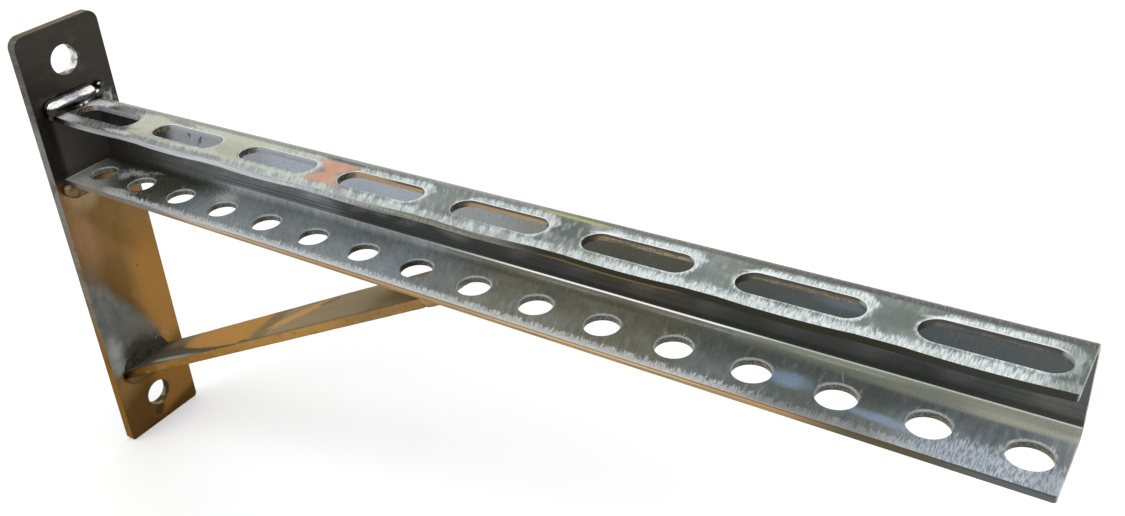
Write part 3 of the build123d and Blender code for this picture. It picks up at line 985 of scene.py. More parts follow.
@dataclass(frozen=True)
class BarFinish(Finish):
    """Zinc on the brace: golden as painted reflection of warm surroundings, crossed by a dark band and cool
    grey on its far half, with painted shade near the plate and a painted highlight along its front edge.
    """

    slope: float = math.radians(27.37)
    front: float = -15.5

    def paint(self, graph: Graph) -> Painted:
        """Paints the upper face, the front edge and the rest.

        Args:
            graph: the material's tree.

        Returns:
            The painted surface.
        """
        x, y = graph.x, graph.y
        plain, wear, height = self.plain(graph)
        lean = (0, -self.slope, 0)
        streaks = graph.grain((30, 1.8, 3), detail=3, turn=lean)
        mottle = graph.grain((5, 2.5, 2.5), detail=3, turn=lean)
        fleck = mottle - 0.5
        ragged = fleck * 1.2
        far = graph.layers(
            (0.35, 0.275, 0.165),
            (streaks.fade(0.42, 0.58), (0.31, 0.262, 0.17)),
            (x.fade(165, 180) * 0.8, (0.24, 0.17, 0.082)),
        )
        band = (x + y * 0.35 + fleck * 6).between(97, 108, 3)
        tongue = graph.patch(x, y, (119, 1), (13, 5), turn=0.62, rough=ragged, soft=0.3)
        # A small darker spot on the upper face
        dark_fleck = graph.patch(x, y, (133, 7.5), (5, 2), turn=0.5, rough=ragged)
        swoosh = 37 + (2 - y).high(0) ** 2 * 0.2
        near = (swoosh - x + fleck * 6).fade(-3, 3)
        # Painted shade near the plate
        dish = graph.layers(
            (0.112, 0.1, 0.072),
            ((y - 2).fade(-4, 4), (0.265, 0.195, 0.11)),
            ((x + y * 0.3).fade(26, 14) * 0.75, (0.088, 0.08, 0.06)),
        )
        # Painted highlight along the front edge of the upper face
        gleam = graph.patch(x, y, (41, -12.8), (20, 1.5), turn=-0.08, soft=0.8) * x.fade(20, 34)
        top = graph.layers(
            (0.49, 0.262, 0.068),
            (streaks.fade(0.45, 0.62) * 0.4, (0.54, 0.3, 0.088)),
            ((x + fleck * 6 + y * 0.3).fade(92, 101), far),
            (band * 0.7, (0.22, 0.15, 0.07)),
            (tongue * 0.95, (0.62, 0.345, 0.11)),
            (dark_fleck * 0.5, (0.12, 0.1, 0.065)),
            ((y - self.front).fade(1.6, 0.6) * x.fade(72, 110) * 0.6, (0.12, 0.1, 0.075)),
            (graph.patch(x, y, (98.5, -14), (3, 1), rough=ragged) * 0.8, Tone.UMBER),
            (near, dish),
            (gleam * 0.6, (0.56, 0.57, 0.56)),
        )
        # Front face: golden as painted reflection, darker near the plate as painted shade
        side = graph.layers(
            (0.11, 0.058, 0.02),
            (x.fade(12, 48), (0.28, 0.152, 0.046)),
            (x.fade(60, 125), (0.385, 0.212, 0.066)),
            (x.fade(148, 172), (0.27, 0.16, 0.062)),
            (mottle.fade(0.56, 0.68) * 0.25, Tone.ASH),
            (mottle.fade(0.42, 0.3) * 0.4, Tone.BROWN),
        )
        on_top = graph.nz.fade(0.45, 0.75)
        colour = graph.layers(
            plain,
            (graph.ny.fade(-0.4, -0.75), side),
            (on_top, top),
        )
        return colour, wear * 0.7 + 0.15, height * 0.6 + streaks * 0.4, 1 - 0.8 * on_top


@dataclass(frozen=True)
class WeldFinish(Finish):
    """Zinc over weld metal: mottled, with painted shade where it turns under and a small painted highlight on
    each lump.
    """

    crown: Colour | Tone = Tone.SILVER
    valley: Colour | Tone = Tone.SLATE
    # colour of the painted shade where the bead turns under
    under: Colour | Tone = Tone.UMBER
    # strength of the painted highlight on each lump
    gleam: float = 0.4
    bare: float = 1.0

    def paint(self, graph: Graph) -> Painted:
        """Paints a weld bead.

        Args:
            graph: the material's tree.

        Returns:
            The painted surface.
        """
        lumps, sparks = self.grains(graph)
        colour = graph.layers(
            self.valley,
            ((lumps + sparks * 0.4).fade(0.58, 0.74), self.crown),
            (graph.nz.fade(0.05, -0.4) * 0.85, self.under),
            (self.painted_highlight(graph) * self.gleam, Tone.WHITE),
        )
        return colour, lumps.fade(0.6, 0.4) * 0.6, lumps * 0.8 + sparks * 0.2, self.bare

    def grains(self, graph: Graph) -> tuple[Wire, Wire]:
        """Gives the slow and the fine mottle of weld metal."""
        return graph.grain((4, 4.5, 4), detail=3, bend=0.6), graph.grain((0.7, 0.7, 0.7), detail=2)

    def painted_highlight(self, graph: Graph) -> Wire:
        """Masks the small part of each lump that faces up and to the open front, where a highlight is
        painted.
        """
        return (graph.nz * 0.8 - graph.ny * 0.55 - graph.nx * 0.2).fade(0.88, 0.96)


@dataclass(frozen=True)
class TopWeldFinish(WeldFinish):
    """Zinc on the arm's upper bead: a broad painted highlight on its crown over a painted dark underside, and
    dark round drops with painted glints.
    """

    def paint(self, graph: Graph) -> Painted:
        """Paints the bead, its drops and the lumps at its toe.

        Args:
            graph: the material's tree.

        Returns:
            The painted surface.
        """
        x, y, z = graph.x, graph.y, graph.z
        lumps, sparks = self.grains(graph)
        wander = (lumps - 0.5) * 1.2
        # Painted highlight on the crown, white towards both ends
        crown = graph.layers(
            (0.4, 0.395, 0.43),
            ((y + wander * 6).fade(-6.5, -10), Tone.WHITE),
            ((y + wander * 6).fade(-1, 4), (0.9, 0.905, 0.93)),
            (sparks.fade(0.5, 0.62) * 0.25, Tone.SLATE),
        )
        highlight_band = (graph.nz + wander * 0.25).fade(0.26, 0.48) * graph.nx.fade(-0.5, -0.3)
        # Painted dark underside, darkest at the front end
        low = graph.layers(
            (0.06, 0.055, 0.044),
            (lumps.fade(0.5, 0.6) * 0.4, Tone.SLATE),
            (y.fade(-8, -11.5), (0.04, 0.032, 0.026)),
        )
        # Painted glint on each drop
        glint = (graph.nz * 0.8 - graph.ny * 0.45 + graph.nx * 0.35).fade(0.86, 0.93)
        drop = graph.lay((0.06, 0.056, 0.038), glint, Tone.WHITE)
        away = [(place - centre) ** 2 for place, centre in zip((x, y, z), FIRST_DROP)]
        first = (away[0] + away[1] + away[2]) ** 0.5
        # Lumps at the toe with a painted highlight where they face up, and the front lump dark with a painted
        # highlight
        toe = z.fade(70.6, 70.2) * y.between(-4.5, 3.5, 0.5) * x.fade(8.6, 9)
        lump = z.fade(70.3, 69.9) * y.fade(-13.2, -13.7)
        colour = graph.layers(
            low,
            (highlight_band, crown),
            (y.fade(8.6, 9.4).high(first.fade(3.4, 3.2)), drop),
            (toe, graph.lay(Tone.ASH, graph.nz.fade(0.3, 0.7), Tone.WHITE)),
            (lump, graph.lay((0.06, 0.04, 0.03), self.painted_highlight(graph), (0.16, 0.11, 0.085))),
        )
        return colour, lumps.fade(0.6, 0.4) * 0.5, lumps * 0.8 + sparks * 0.2, 1.0


def mesh_object(name: str, mesh: bpy.types.Mesh) -> bpy.types.Object:
    """Puts a mesh into the scene, at the origin.

    Args:
        name: the object's name.
        mesh: the mesh.

    Returns:
        The object.
    """
    made = bpy.data.objects.new(name, mesh)
    bpy.context.scene.collection.objects.link(made)
    return made


def mesh_from(name: str, points: Iterable[Sequence[float]], faces: Iterable[Sequence[int]]) -> bpy.types.Mesh:
    """Makes a closed mesh from points in millimetres, with doubles merged and faces outwards.

    Args:
        name: the mesh's name.
        points: its corners in millimetres.
        faces: its faces, as places in the list of points.

    Returns:
        The mesh, in metres.
    """
    work = bmesh.new()
    corners = [work.verts.new(Vector(point) * MM) for point in points]
    for face in faces:
        ring = list(dict.fromkeys(face))
        if len(ring) > 2:
            work.faces.new([corners[i] for i in ring])
    bmesh.ops.remove_doubles(work, verts=work.verts, dist=SAME_POINT)
    bmesh.ops.dissolve_degenerate(work, edges=work.edges, dist=SAME_POINT)
    bmesh.ops.recalc_face_normals(work, faces=work.faces)
    mesh = bpy.data.meshes.new(name)
    work.to_mesh(mesh)
    work.free()
    return mesh


def arc(
    centre: Sequence[float], radius: float, start: float, end: float, steps: int
) -> list[tuple[float, float]]:
    """Lists points of an arc in a plane, from start to end in degrees, both included."""
    turns = (math.radians(start + (end - start) * i / steps) for i in range(steps + 1))
    return [(centre[0] + radius * math.cos(t), centre[1] + radius * math.sin(t)) for t in turns]


def prism(outline: Sequence[Sequence[float]], bottom: float, top: float) -> tuple[list, list]:
    """Raises a flat outline to a prism along Z.

    Args:
        outline: the outline's corners as (x, y), in millimetres.
        bottom: height of the lower face.
        top: height of the upper face.

    Returns:
        Its points and faces.
    """
    count = len(outline)
    points = [(*corner, z) for z in (bottom, top) for corner in outline]
    faces = [list(range(count)), list(range(count, 2 * count))]
    faces += [[i, (i + 1) % count, (i + 1) % count + count, i + count] for i in range(count)]
    return points, faces


def settle(piece: bpy.types.Object, finish: bpy.types.Material, bevel: float, steps: int = 3) -> None:
    """Rounds a piece's sharp edges as the zinc does, and keeps the result as a plain mesh.

    Args:
        piece: the object, whose modifiers are applied as well.
        finish: its only material.
        bevel: width of the rounding in millimetres.
        steps: faces across the rounding.
    """
    if bevel:
        rounding = piece.modifiers.new("rounding", "BEVEL")
        rounding.width = bevel * MM
        rounding.segments = steps
        rounding.limit_method = "ANGLE"
        rounding.angle_limit = SHARP_ANGLE
        rounding.harden_normals = True
    piece.data.shade_smooth()
    bake_down(piece)
    piece.data.materials.clear()
    piece.data.materials.append(finish)


def bake_down(piece: bpy.types.Object) -> None:
    """Turns what an object's modifiers make into its own plain mesh, and removes them.

    Args:
        piece: the object.
    """
    bpy.context.view_layer.update()
    graph = bpy.context.evaluated_depsgraph_get()
    mesh = bpy.data.meshes.new_from_object(piece.evaluated_get(graph), depsgraph=graph)
    piece.modifiers.clear()
    piece.data = mesh


class NodeMesh:
    """A Geometry Nodes tree that is built in the script and used once, on one object."""

    def __init__(self, name: str) -> None:
        """Starts an empty tree with one geometry in and one out.

        Args:
            name: the tree's name.
        """
        self.tree = bpy.data.node_groups.new(name, "GeometryNodeTree")
        self.bench = Bench(self.tree)
        self.values: dict[str, Any] = {}
        self.tree.interface.new_socket("Geometry", in_out="INPUT", socket_type="NodeSocketGeometry")
        self.tree.interface.new_socket("Geometry", in_out="OUTPUT", socket_type="NodeSocketGeometry")
        self.source = self.bench.node("NodeGroupInput")

    def size(self, name: str, value: Any) -> Wire:
        """Adds a named input with its value.

        Args:
            name: the input's name.
            value: a whole number, a number, a vector or a material.

        Returns:
            The input, to link to the tree's nodes.
        """
        kinds = {int: "NodeSocketInt", float: "NodeSocketFloat", bpy.types.Material: "NodeSocketMaterial"}
        kind = kinds.get(type(value), "NodeSocketVector")
        socket = self.tree.interface.new_socket(name, in_out="INPUT", socket_type=kind)
        self.values[socket.identifier] = value
        return Wire(self.bench, Bench.find(self.source.outputs, socket.identifier))

    def rectangle(self, width: Wire, height: Wire, steps: int, radius: Wire) -> Wire:
        """Adds a rectangle with round corners.

        Args:
            width: its size along X, in metres.
            height: its size along Y, in metres.
            steps: straight pieces in each corner.
            radius: the corners' radius, in metres.

        Returns:
            The rectangle as a curve.
        """
        sides = {"Width": width, "Height": height}
        outline = self.bench.wire("GeometryNodeCurvePrimitiveQuadrilateral", {"mode": "RECTANGLE"}, sides)
        corners = {"Curve": outline, "Count": steps, "Radius": radius, "Limit Radius": True}
        return self.bench.wire("GeometryNodeFilletCurve", {"mode": "POLY"}, corners)

    def sweep(self, path: Wire, section: Wire) -> Wire:
        """Sweeps a section along a path, and closes both ends."""
        swept = {"Curve": path, "Profile Curve": section, "Fill Caps": True}
        return self.bench.wire("GeometryNodeCurveToMesh", None, swept)

    def make(self, geometry: Wire, piece: bpy.types.Object, finish: bpy.types.Material) -> None:
        """Ends the tree and runs it on the piece, which keeps the result as a plain mesh.

        Args:
            geometry: what the tree has made.
            piece: the object that it runs on.
            finish: material of the result.
        """
        real = self.bench.wire("GeometryNodeRealizeInstances", None, {"Geometry": geometry})
        dressing = {"Geometry": real, "Material": self.size("Finish", finish)}
        dressed = self.bench.wire("GeometryNodeSetMaterial", None, dressing)
        self.bench.node("NodeGroupOutput", None, {"Geometry": dressed})
        modifier = piece.modifiers.new(self.tree.name, "NODES")
        modifier.node_group = self.tree
        for identifier, value in self.values.items():
            modifier[identifier] = value
        bake_down(piece)


@dataclass
class PunchRow:
    """A straight row of equal round or long holes."""

    name: str
    start: Vector
    step: Vector
    count: int
    radius: float
    straight: float = 0.0
    depth: float = 20.0
    turn: Vector = field(default_factory=Vector)
    corner_steps: int = 14
    same_point: float = 1e-6

    def cutters(self, nodes: NodeMesh) -> Wire:
        """Adds the nodes that make the row's cutters.

        Args:
            nodes: the tree they go into.

        Returns:
            The cutters as instances.
        """
        bench = nodes.bench
        radius = nodes.size(f"{self.name} radius", self.radius * MM)
        straight = nodes.size(f"{self.name} straight", self.straight * MM)
        outline = nodes.rectangle(straight + radius * 2, radius * 2, self.corner_steps, radius)
        half = self.depth * MM / 2
        ends = {"Start": (0, 0, -half), "End": (0, 0, half)}
        cutter = nodes.sweep(bench.wire("GeometryNodeCurvePrimitiveLine", None, ends), outline)
        merging = {"Geometry": cutter, "Distance": self.same_point}
        cutter = bench.wire("GeometryNodeMergeByDistance", None, merging)
        line = {
            "Count": nodes.size(f"{self.name} count", self.count),
            "Start Location": nodes.size(f"{self.name} start", self.start * MM),
            "Offset": nodes.size(f"{self.name} step", self.step * MM),
        }
        row = bench.wire("GeometryNodeMeshLine", {"mode": "OFFSET"}, line)
        placed = {"Points": row, "Instance": cutter, "Rotation": nodes.size(f"{self.name} turn", self.turn)}
        return bench.wire("GeometryNodeInstanceOnPoints", None, placed)


def punch(piece: bpy.types.Object, rows: Sequence[PunchRow], finish: bpy.types.Material) -> None:
    """Punches rows of holes through a piece with one Geometry Nodes tree.

    Args:
        piece: the object.
        rows: the rows of holes.
        finish: its material.
    """
    nodes = NodeMesh(f"{piece.name}_punching")
    boolean = nodes.bench.node("GeometryNodeMeshBoolean", {"operation": "DIFFERENCE", "solver": "EXACT"})
    nodes.tree.links.new(nodes.source.outputs["Geometry"], boolean.inputs["Mesh 1"])
    for row in rows:
        real = nodes.bench.wire("GeometryNodeRealizeInstances", None, {"Geometry": row.cutters(nodes)})
        nodes.tree.links.new(real.socket, boolean.inputs["Mesh 2"])
    nodes.make(Wire(nodes.bench, boolean.outputs["Mesh"]), piece, finish)


class Piece:
    """One named piece of the bracket."""

    name: str
    node: str

    def build(self) -> bpy.types.Object:
        """Makes the piece's object."""
        raise NotImplementedError

    def install(self) -> bpy.types.Object:
        """Builds the piece and puts it in place of its solid.

        Returns:
            The finished object.
        """
        made = self.build()
        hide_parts(self.node)
        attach(made, "root")
        LOG.info("%s: %d faces", made.name, len(made.data.polygons))
        return made


@dataclass
class Arm(Piece):
    """The folded channel with its punched rows."""

    name: str = "zinc_arm"
    node: str = "arm"
    start: float = PLATE_FACE
    length: float = 396.0
    top: float = ARM_TOP
    underside: float = ARM_UNDERSIDE
    sheet: float = 2.5
    inner_bend: float = 3.0
    back: float = 13.25
    flanges: Flanges = Flanges()
    corner: float = 1.0
    corner_steps: int = 6
    bulge: float = 0.8
    bulge_length: float = 38.0
    bulge_steps: int = 16
    bend_steps: int = 10
    rounding: float = 0.45

    @property
    def bend_start(self) -> float:
        """Place along Y where the flat flanges end and the bends begin."""
        return self.back - self.inner_bend - self.sheet

    def flange(self, front: float, bottom: float, waves: Sequence[float]) -> tuple[list, list]:
        """Makes one flat flange, open at the side that meets its bend.

        Args:
            front: place of its free edge along Y.
            bottom: height of its underside.
            waves: places along X where the free edge is pushed out.

        Returns:
            Its points and faces.
        """
        end = self.start + self.length
        outline = [(self.start, self.bend_start), (end, self.bend_start)]
        centre = (end - self.corner, front + self.corner)
        outline += arc(centre, self.corner, 0.0, -90.0, self.corner_steps)
        half = self.bulge_length / 2
        for wave in sorted(waves, reverse=True):
            for i in range(self.bulge_steps + 1):
                across = 1.0 - 2 * i / self.bulge_steps
                outline.append((wave + half * across, front - self.bulge * (1.0 - across**2)))
        outline.append((self.start, front))
        points, faces = prism(outline, bottom, bottom + self.sheet)
        del faces[2]
        return points, faces

    def fold(self) -> tuple[list, list]:
        """Makes the two bends and the upright web between them.

        Returns:
            Their points and faces.
        """
        outer = self.inner_bend + self.sheet
        high, low = self.top - outer, self.underside + outer
        upper, lower, steps = (self.bend_start, high), (self.bend_start, low), self.bend_steps
        line = arc(upper, outer, 90.0, 0.0, steps) + arc(lower, outer, 0.0, -90.0, steps)
        inner = arc(lower, self.inner_bend, -90.0, 0.0, steps)
        inner += arc(upper, self.inner_bend, 0.0, 90.0, steps)
        ring = line + inner
        count = len(ring)
        points = [(x, *corner) for x in (self.start, self.start + self.length) for corner in ring]
        seams = {len(line) - 1, count - 1}
        faces = [list(range(count)), list(range(count, 2 * count))]
        whole = [i for i in range(count) if i not in seams]
        faces += [[i, (i + 1) % count, (i + 1) % count + count, i + count] for i in whole]
        return points, faces

    def build(self) -> bpy.types.Object:
        """Makes the blank, punches it and rounds its edges.

        Returns:
            The object.
        """
        rows = self.flanges
        slots = [rows.slot_start + rows.slot_pitch * i for i in range(rows.slot_count)]
        points: list = []
        faces: list = []
        for part, shell in (
            self.flange(rows.top_front, self.top - self.sheet, slots),
            self.flange(rows.low_front, self.underside, []),
            self.fold(),
        ):
            faces += [[i + len(points) for i in face] for face in shell]
            points += part
        made = mesh_object(self.name, mesh_from(self.name, points, faces))
        finish = SheetFinish("zinc_on_sheet").material()
        along = Vector((1.0, 0.0, 0.0))
        first, step = Vector((rows.slot_start, rows.slot_y, self.top)), along * rows.slot_pitch
        long_row = PunchRow("Slot", first, step, rows.slot_count, rows.slot_radius, rows.slot_straight)
        first, step = Vector((rows.hole_start, rows.hole_y, self.underside)), along * rows.hole_pitch
        round_row = PunchRow("Hole", first, step, rows.hole_count, rows.hole_radius)
        punch(made, [long_row, round_row], finish)
        settle(made, finish, self.rounding)
        return made


@dataclass
class BackPlate(Piece):
    """The upright flat bar that bolts to the wall."""

    name: str = "zinc_back_plate"
    node: str = "back_plate"
    width: float = 42.5
    height: float = 210.0
    thickness: float = PLATE_FACE
    upper_corner: float = 5.0
    lower_corner: float = 2.0
    corner_steps: int = 10
    bolt_spacing: float = 178.0
    bolt_radius: float = 6.5
    rounding: float = 0.4

    def build(self) -> bpy.types.Object:
        """Makes the bar with its round corners, then its bolt holes.

        Returns:
            The object.
        """
        outline: list[tuple[float, float]] = []
        for side, end, start in ((1, 1, 0.0), (-1, 1, 90.0), (-1, -1, 180.0), (1, -1, 270.0)):
            radius = self.upper_corner if end > 0 else self.lower_corner
            centre = (side * (self.width / 2 - radius), end * (self.height / 2 - radius))
            outline += arc(centre, radius, start, start + 90.0, self.corner_steps)
        points, faces = prism(outline, 0.0, self.thickness)
        points = [(z, x, y) for x, y, z in points]
        made = mesh_object(self.name, mesh_from(self.name, points, faces))
        tint = (0.8, 0.68, 0.5)
        finish = PlateFinish("zinc_on_plate", 0.2, 0.5, edge_tint=tint, gloss=0.0).material()
        up = Vector((0.0, 0.0, self.bolt_spacing))
        across = Vector((0.0, math.pi / 2, 0.0))
        bolts = PunchRow("Bolt", up / -2, up, 2, self.bolt_radius, turn=across)
        punch(made, [bolts], finish)
        settle(made, finish, self.rounding, steps=4)
        return made


@dataclass
class Brace(Piece):
    """The sloping flat bar, a little uneven under its zinc."""

    name: str = "zinc_brace"
    node: str = "brace"
    foot: Vector = field(default_factory=lambda: Vector((PLATE_FACE, -1.5, BRACE_FOOT)))
    slope: float = BRACE_SLOPE
    end_gap: float = 1.5
    width: float = 28.0
    thickness: float = 4.0
    edge: float = 0.7
    edge_steps: int = 5
    wave: float = 0.12
    waves_per_metre: float = 90.0
    stations: int = 90
    seed: float = 3.0
    rounding: float = 0.5

    def build(self) -> bpy.types.Object:
        """Sweeps a rounded section along the bar and lets its surface wander a little.

        Returns:
            The object.
        """
        made = mesh_object(self.name, bpy.data.meshes.new(self.name))
        tint = (0.62, 0.5, 0.34)
        finish = BarFinish("zinc_on_bar", 0.2, 0.48, edge_tint=tint, gloss=0.0).material()
        nodes = NodeMesh("brace_sweep")
        bench = nodes.bench
        width, thickness = nodes.size("Width", self.width * MM), nodes.size("Thickness", self.thickness * MM)
        section = nodes.rectangle(width, thickness, self.edge_steps, nodes.size("Edge", self.edge * MM))
        length = math.hypot(BRACE_RISE, BRACE_REACH) - self.end_gap
        path = bench.wire("GeometryNodeCurvePrimitiveLine", None, {"End": (length * MM, 0.0, 0.0)})
        path = bench.wire("GeometryNodeResampleCurve", None, {"Curve": path, "Count": self.stations})
        bar = nodes.sweep(path, section)
        waves = {
            "Vector": bench.node("GeometryNodeInputPosition").outputs[0],
            "W": nodes.size("Seed", self.seed),
            "Scale": self.waves_per_metre,
            "Detail": 1.0,
        }
        wander = bench.wire("ShaderNodeTexNoise", {"noise_dimensions": "4D"}, waves, "Fac")
        normal = bench.node("GeometryNodeInputNormal").outputs[0]
        amount = (wander - 0.5) * nodes.size("Wave", self.wave * 2 * MM)
        offset = bench.wire("ShaderNodeVectorMath", {"operation": "SCALE"}, {0: normal, "Scale": amount})
        bar = bench.wire("GeometryNodeSetPosition", None, {"Geometry": bar, "Offset": offset})
        middle = self.foot + Vector((math.sin(self.slope), 0.0, -math.cos(self.slope))) * self.thickness / 2
        placing = {
            "Geometry": bar,
            "Translation": nodes.size("Foot", middle * MM),
            "Rotation": nodes.size("Turn", Vector((0.0, -self.slope, 0.0))),
        }
        nodes.make(bench.wire("GeometryNodeTransform", None, placing), made, finish)
        settle(made, finish, self.rounding)
        return made


@dataclass(frozen=True)
class RoundSection:
    """A bead's section that is part of a circle, given from the corner that the bead fills."""

    rise: float
    out: float
    radius: float

    def reach(self, turn: float, span: float) -> float:
        """Gives the section's distance from the corner.

        Args:
            turn: angle from the plate, in radians.
            span: angle between the two faces; not used.

        Returns:
            The distance in millimetres.
        """
        middle = self.rise * math.cos(turn) + self.out * math.sin(turn)
        return middle + math.sqrt(self.radius**2 - self.rise**2 - self.out**2 + middle**2)

    def heart(self) -> tuple[float, float]:
        """Gives the point that the bead's round ends shrink to."""
        return self.rise * 0.8, self.out * 0.8


@dataclass(frozen=True)
class FlatSection:
    """A bead's section that runs nearly straight from toe to toe."""

    toe_plate: float
    toe_arm: float
    bulge: float

    def reach(self, turn: float, span: float) -> float:
        """Gives the section's distance from the corner, as a round section does.

        Args:
            turn: angle from the plate, in radians.
            span: angle between the two faces.

        Returns:
            The distance in millimetres.
        """
        straight = self.toe_plate * self.toe_arm * math.sin(span)
        straight /= self.toe_plate * math.sin(turn) + self.toe_arm * math.sin(span - turn)
        return straight + self.bulge * math.sin(math.pi * turn / span) ** 0.8

    def heart(self) -> tuple[float, float]:
        """Gives the point that the bead's round ends shrink to."""
        return 0.0, 0.0


@dataclass
class Drop:
    """A round drop of weld metal."""

    centre: Vector
    radius: float
    squash: float = 0.85


@dataclass
class WeldBead(Piece):
    """A run of weld metal in a corner, with round ends and a wandering toe."""

    name: str
    node: str
    corner: Vector
    along_plate: Vector
    along_arm: Vector
    front: float
    back: float
    section: RoundSection | FlatSection
    finish: WeldFinish
    front_round: float = 4.0
    back_round: float = 3.0
    ripple: float = 0.05
    pitch: float = 2.1
    lump: float = 0.35
    seed: float = 0.0
    inset: float = 0.3
    spacing: float = 0.35
    steps: int = 26
    end_steps: int = 8
    tip_share: float = 0.02
    drops: Sequence[Drop] = ()
    drop_wobble: float = 0.12
    keep_open: Sequence[tuple[float, float, float]] = ()

    def stations(self) -> list[tuple[float, float]]:
        """Lists places along the run, each with the share of the full section that the bead has there.

        Returns:
            Places from the front end in millimetres, each with its share.
        """
        length = self.back - self.front
        turns = [math.pi / 2 * i / self.end_steps for i in range(self.end_steps)]
        ends = [(1 - math.cos(turn), max(self.tip_share, math.sin(turn))) for turn in turns]
        start, stop = self.front_round, length - self.back_round
        count = max(2, round((stop - start) / self.spacing))
        stops = [(self.front_round * place, share) for place, share in ends]
        stops += [(start + (stop - start) * i / count, 1.0) for i in range(count + 1)]
        stops += [(length - self.back_round * place, share) for place, share in reversed(ends)]
        return stops

    def unevenness(self, run: float, turn: float, span: float) -> float:
        """Gives the bead's ripples and slow lumps at one place, in millimetres.

        Args:
            run: place along the bead from its front end, in millimetres.
            turn: angle from the plate, in radians.
            span: angle between the two faces.

        Returns:
            The height in millimetres.
        """
        share = math.sin(math.pi * turn / span)
        wave = abs(math.sin(math.pi * (run / self.pitch + 0.55 * share))) ** 0.6
        spot = Vector((run * 0.2, turn * 0.9, self.seed))
        wander = noise.noise(spot) + noise.noise(spot * 2.7) * 0.35
        return (wave - 0.7) * self.ripple * (0.3 + share) + wander * self.lump

    def build(self) -> bpy.types.Object:
        """Makes the bead's closed mesh and joins its drops to it.

        Returns:
            The object.
        """
        span = self.along_plate.angle(self.along_arm)
        axis = self.along_plate.cross(self.along_arm).normalized()
        aside = Matrix.Rotation(math.pi / 2, 3, axis) @ self.along_plate
        rise, out = self.section.heart()
        heart = self.along_plate * rise + aside * out
        inset = (self.along_plate + self.along_arm).normalized() * -self.inset
        steps = self.steps
        points: list[Vector] = []
        for run, share in self.stations():
            centre = Vector((self.corner.x, self.front + run, self.corner.z))
            ring = [inset]
            for j in range(steps + 1):
                turn = span * j / steps
                ray = Matrix.Rotation(turn, 3, axis) @ self.along_plate
                level = self.section.reach(turn, span) + self.unevenness(run, turn, span)
                ring.append(ray * level + (inset * 0.6 if j in (0, steps) else Vector()))
            points += [self.kept_open(centre + heart + (spot - heart) * share) for spot in ring]
        row, count = steps + 2, len(self.stations()) - 1
        faces = [
            [i * row + j, i * row + (j + 1) % row, (i + 1) * row + (j + 1) % row, (i + 1) * row + j]
            for i in range(count)
            for j in range(row)
        ]
        faces += [list(range(row)), list(range(count * row, (count + 1) * row))]
        mesh = mesh_from(self.name, points, faces)
        self.add_drops(mesh)
        made = mesh_object(self.name, mesh)
        settle(made, self.finish.material(), 0.0)
        return made

    def kept_open(self, spot: Vector) -> Vector:
        """Moves a point back out of the round holes that the bead leaves open.

        Args:
            spot: the point, in millimetres.

        Returns:
            The same point, or one on the hole's rim.
        """
        for x, y, radius in self.keep_open:
            across = radius**2 - (spot.y - y) ** 2
            if across > 0 and abs(spot.x - x) < math.sqrt(across):
                return Vector((x - math.sqrt(across), spot.y, spot.z))
        return spot

    def add_drops(self, mesh: bpy.types.Mesh) -> None:
        """Adds the round drops to the bead's mesh.

        Args:
            mesh: the mesh.
        """
        work = bmesh.new()
        work.from_mesh(mesh)
        for drop in self.drops:
            shape = Matrix.Translation(drop.centre * MM) @ Matrix.Diagonal((1.0, 1.0, drop.squash, 1.0))
            ball = bmesh.ops.create_icosphere(work, subdivisions=3, radius=drop.radius * MM, matrix=shape)
            for vert in ball["verts"]:
                away = vert.co - drop.centre * MM
                vert.co += away * self.drop_wobble * noise.noise(vert.co * 400.0)
        work.to_mesh(mesh)
        work.free()


@dataclass
class Spatter:
    """Small beads of zinc scattered beside the welds."""

    name: str
    patches: Sequence[Sequence[Vector]]
    per_square_mm: float = 0.5
    smallest: float = 0.12
    largest: float = 0.4
    seed: int = 11

    def build(self) -> bpy.types.Object:
        """Scatters the beads over the patches with Geometry Nodes.

        Returns:
            The object.
        """
        points = [corner for patch in self.patches for corner in patch]
        mesh = bpy.data.meshes.new(self.name)
        places = iter(range(len(points)))
        faces = [[next(places) for _ in patch] for patch in self.patches]
        mesh.from_pydata([point * MM for point in points], [], faces)
        made = mesh_object(self.name, mesh)
        finish = WeldFinish("zinc_spatter", crown=Tone.FROST, valley=Tone.ASH).material()
        nodes = NodeMesh("spatter")
        bench = nodes.bench
        scattering = {
            "Mesh": nodes.source.outputs["Geometry"],
            "Density": nodes.size("Beads per square metre", self.per_square_mm / MM**2),
            "Seed": nodes.size("Seed", self.seed),
        }
        sizes = {
            "Min_001": nodes.size("Smallest", self.smallest * MM),
            "Max_001": nodes.size("Largest", self.largest * MM),
            "Seed": self.seed,
        }
        ball = {"Radius": 1.0, "Subdivisions": 2}
        placing = {
            "Points": bench.wire("GeometryNodeDistributePointsOnFaces", None, scattering, "Points"),
            "Instance": bench.wire("GeometryNodeMeshIcoSphere", None, ball, "Mesh"),
            "Scale": bench.wire("FunctionNodeRandomValue", {"data_type": "FLOAT"}, sizes, "Value_001"),
        }
        nodes.make(bench.wire("GeometryNodeInstanceOnPoints", None, placing), made, finish)
        settle(made, finish, 0.0)
        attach(made, "root")
        LOG.info("%s: %d faces", made.name, len(made.data.polygons))
        return made


@dataclass(frozen=True)
class Lamp:
    """A soft square lamp: its place and its side in metres, and its power in watts."""

    name: str
    place: tuple[float, float, float]
    side: float
    power: float


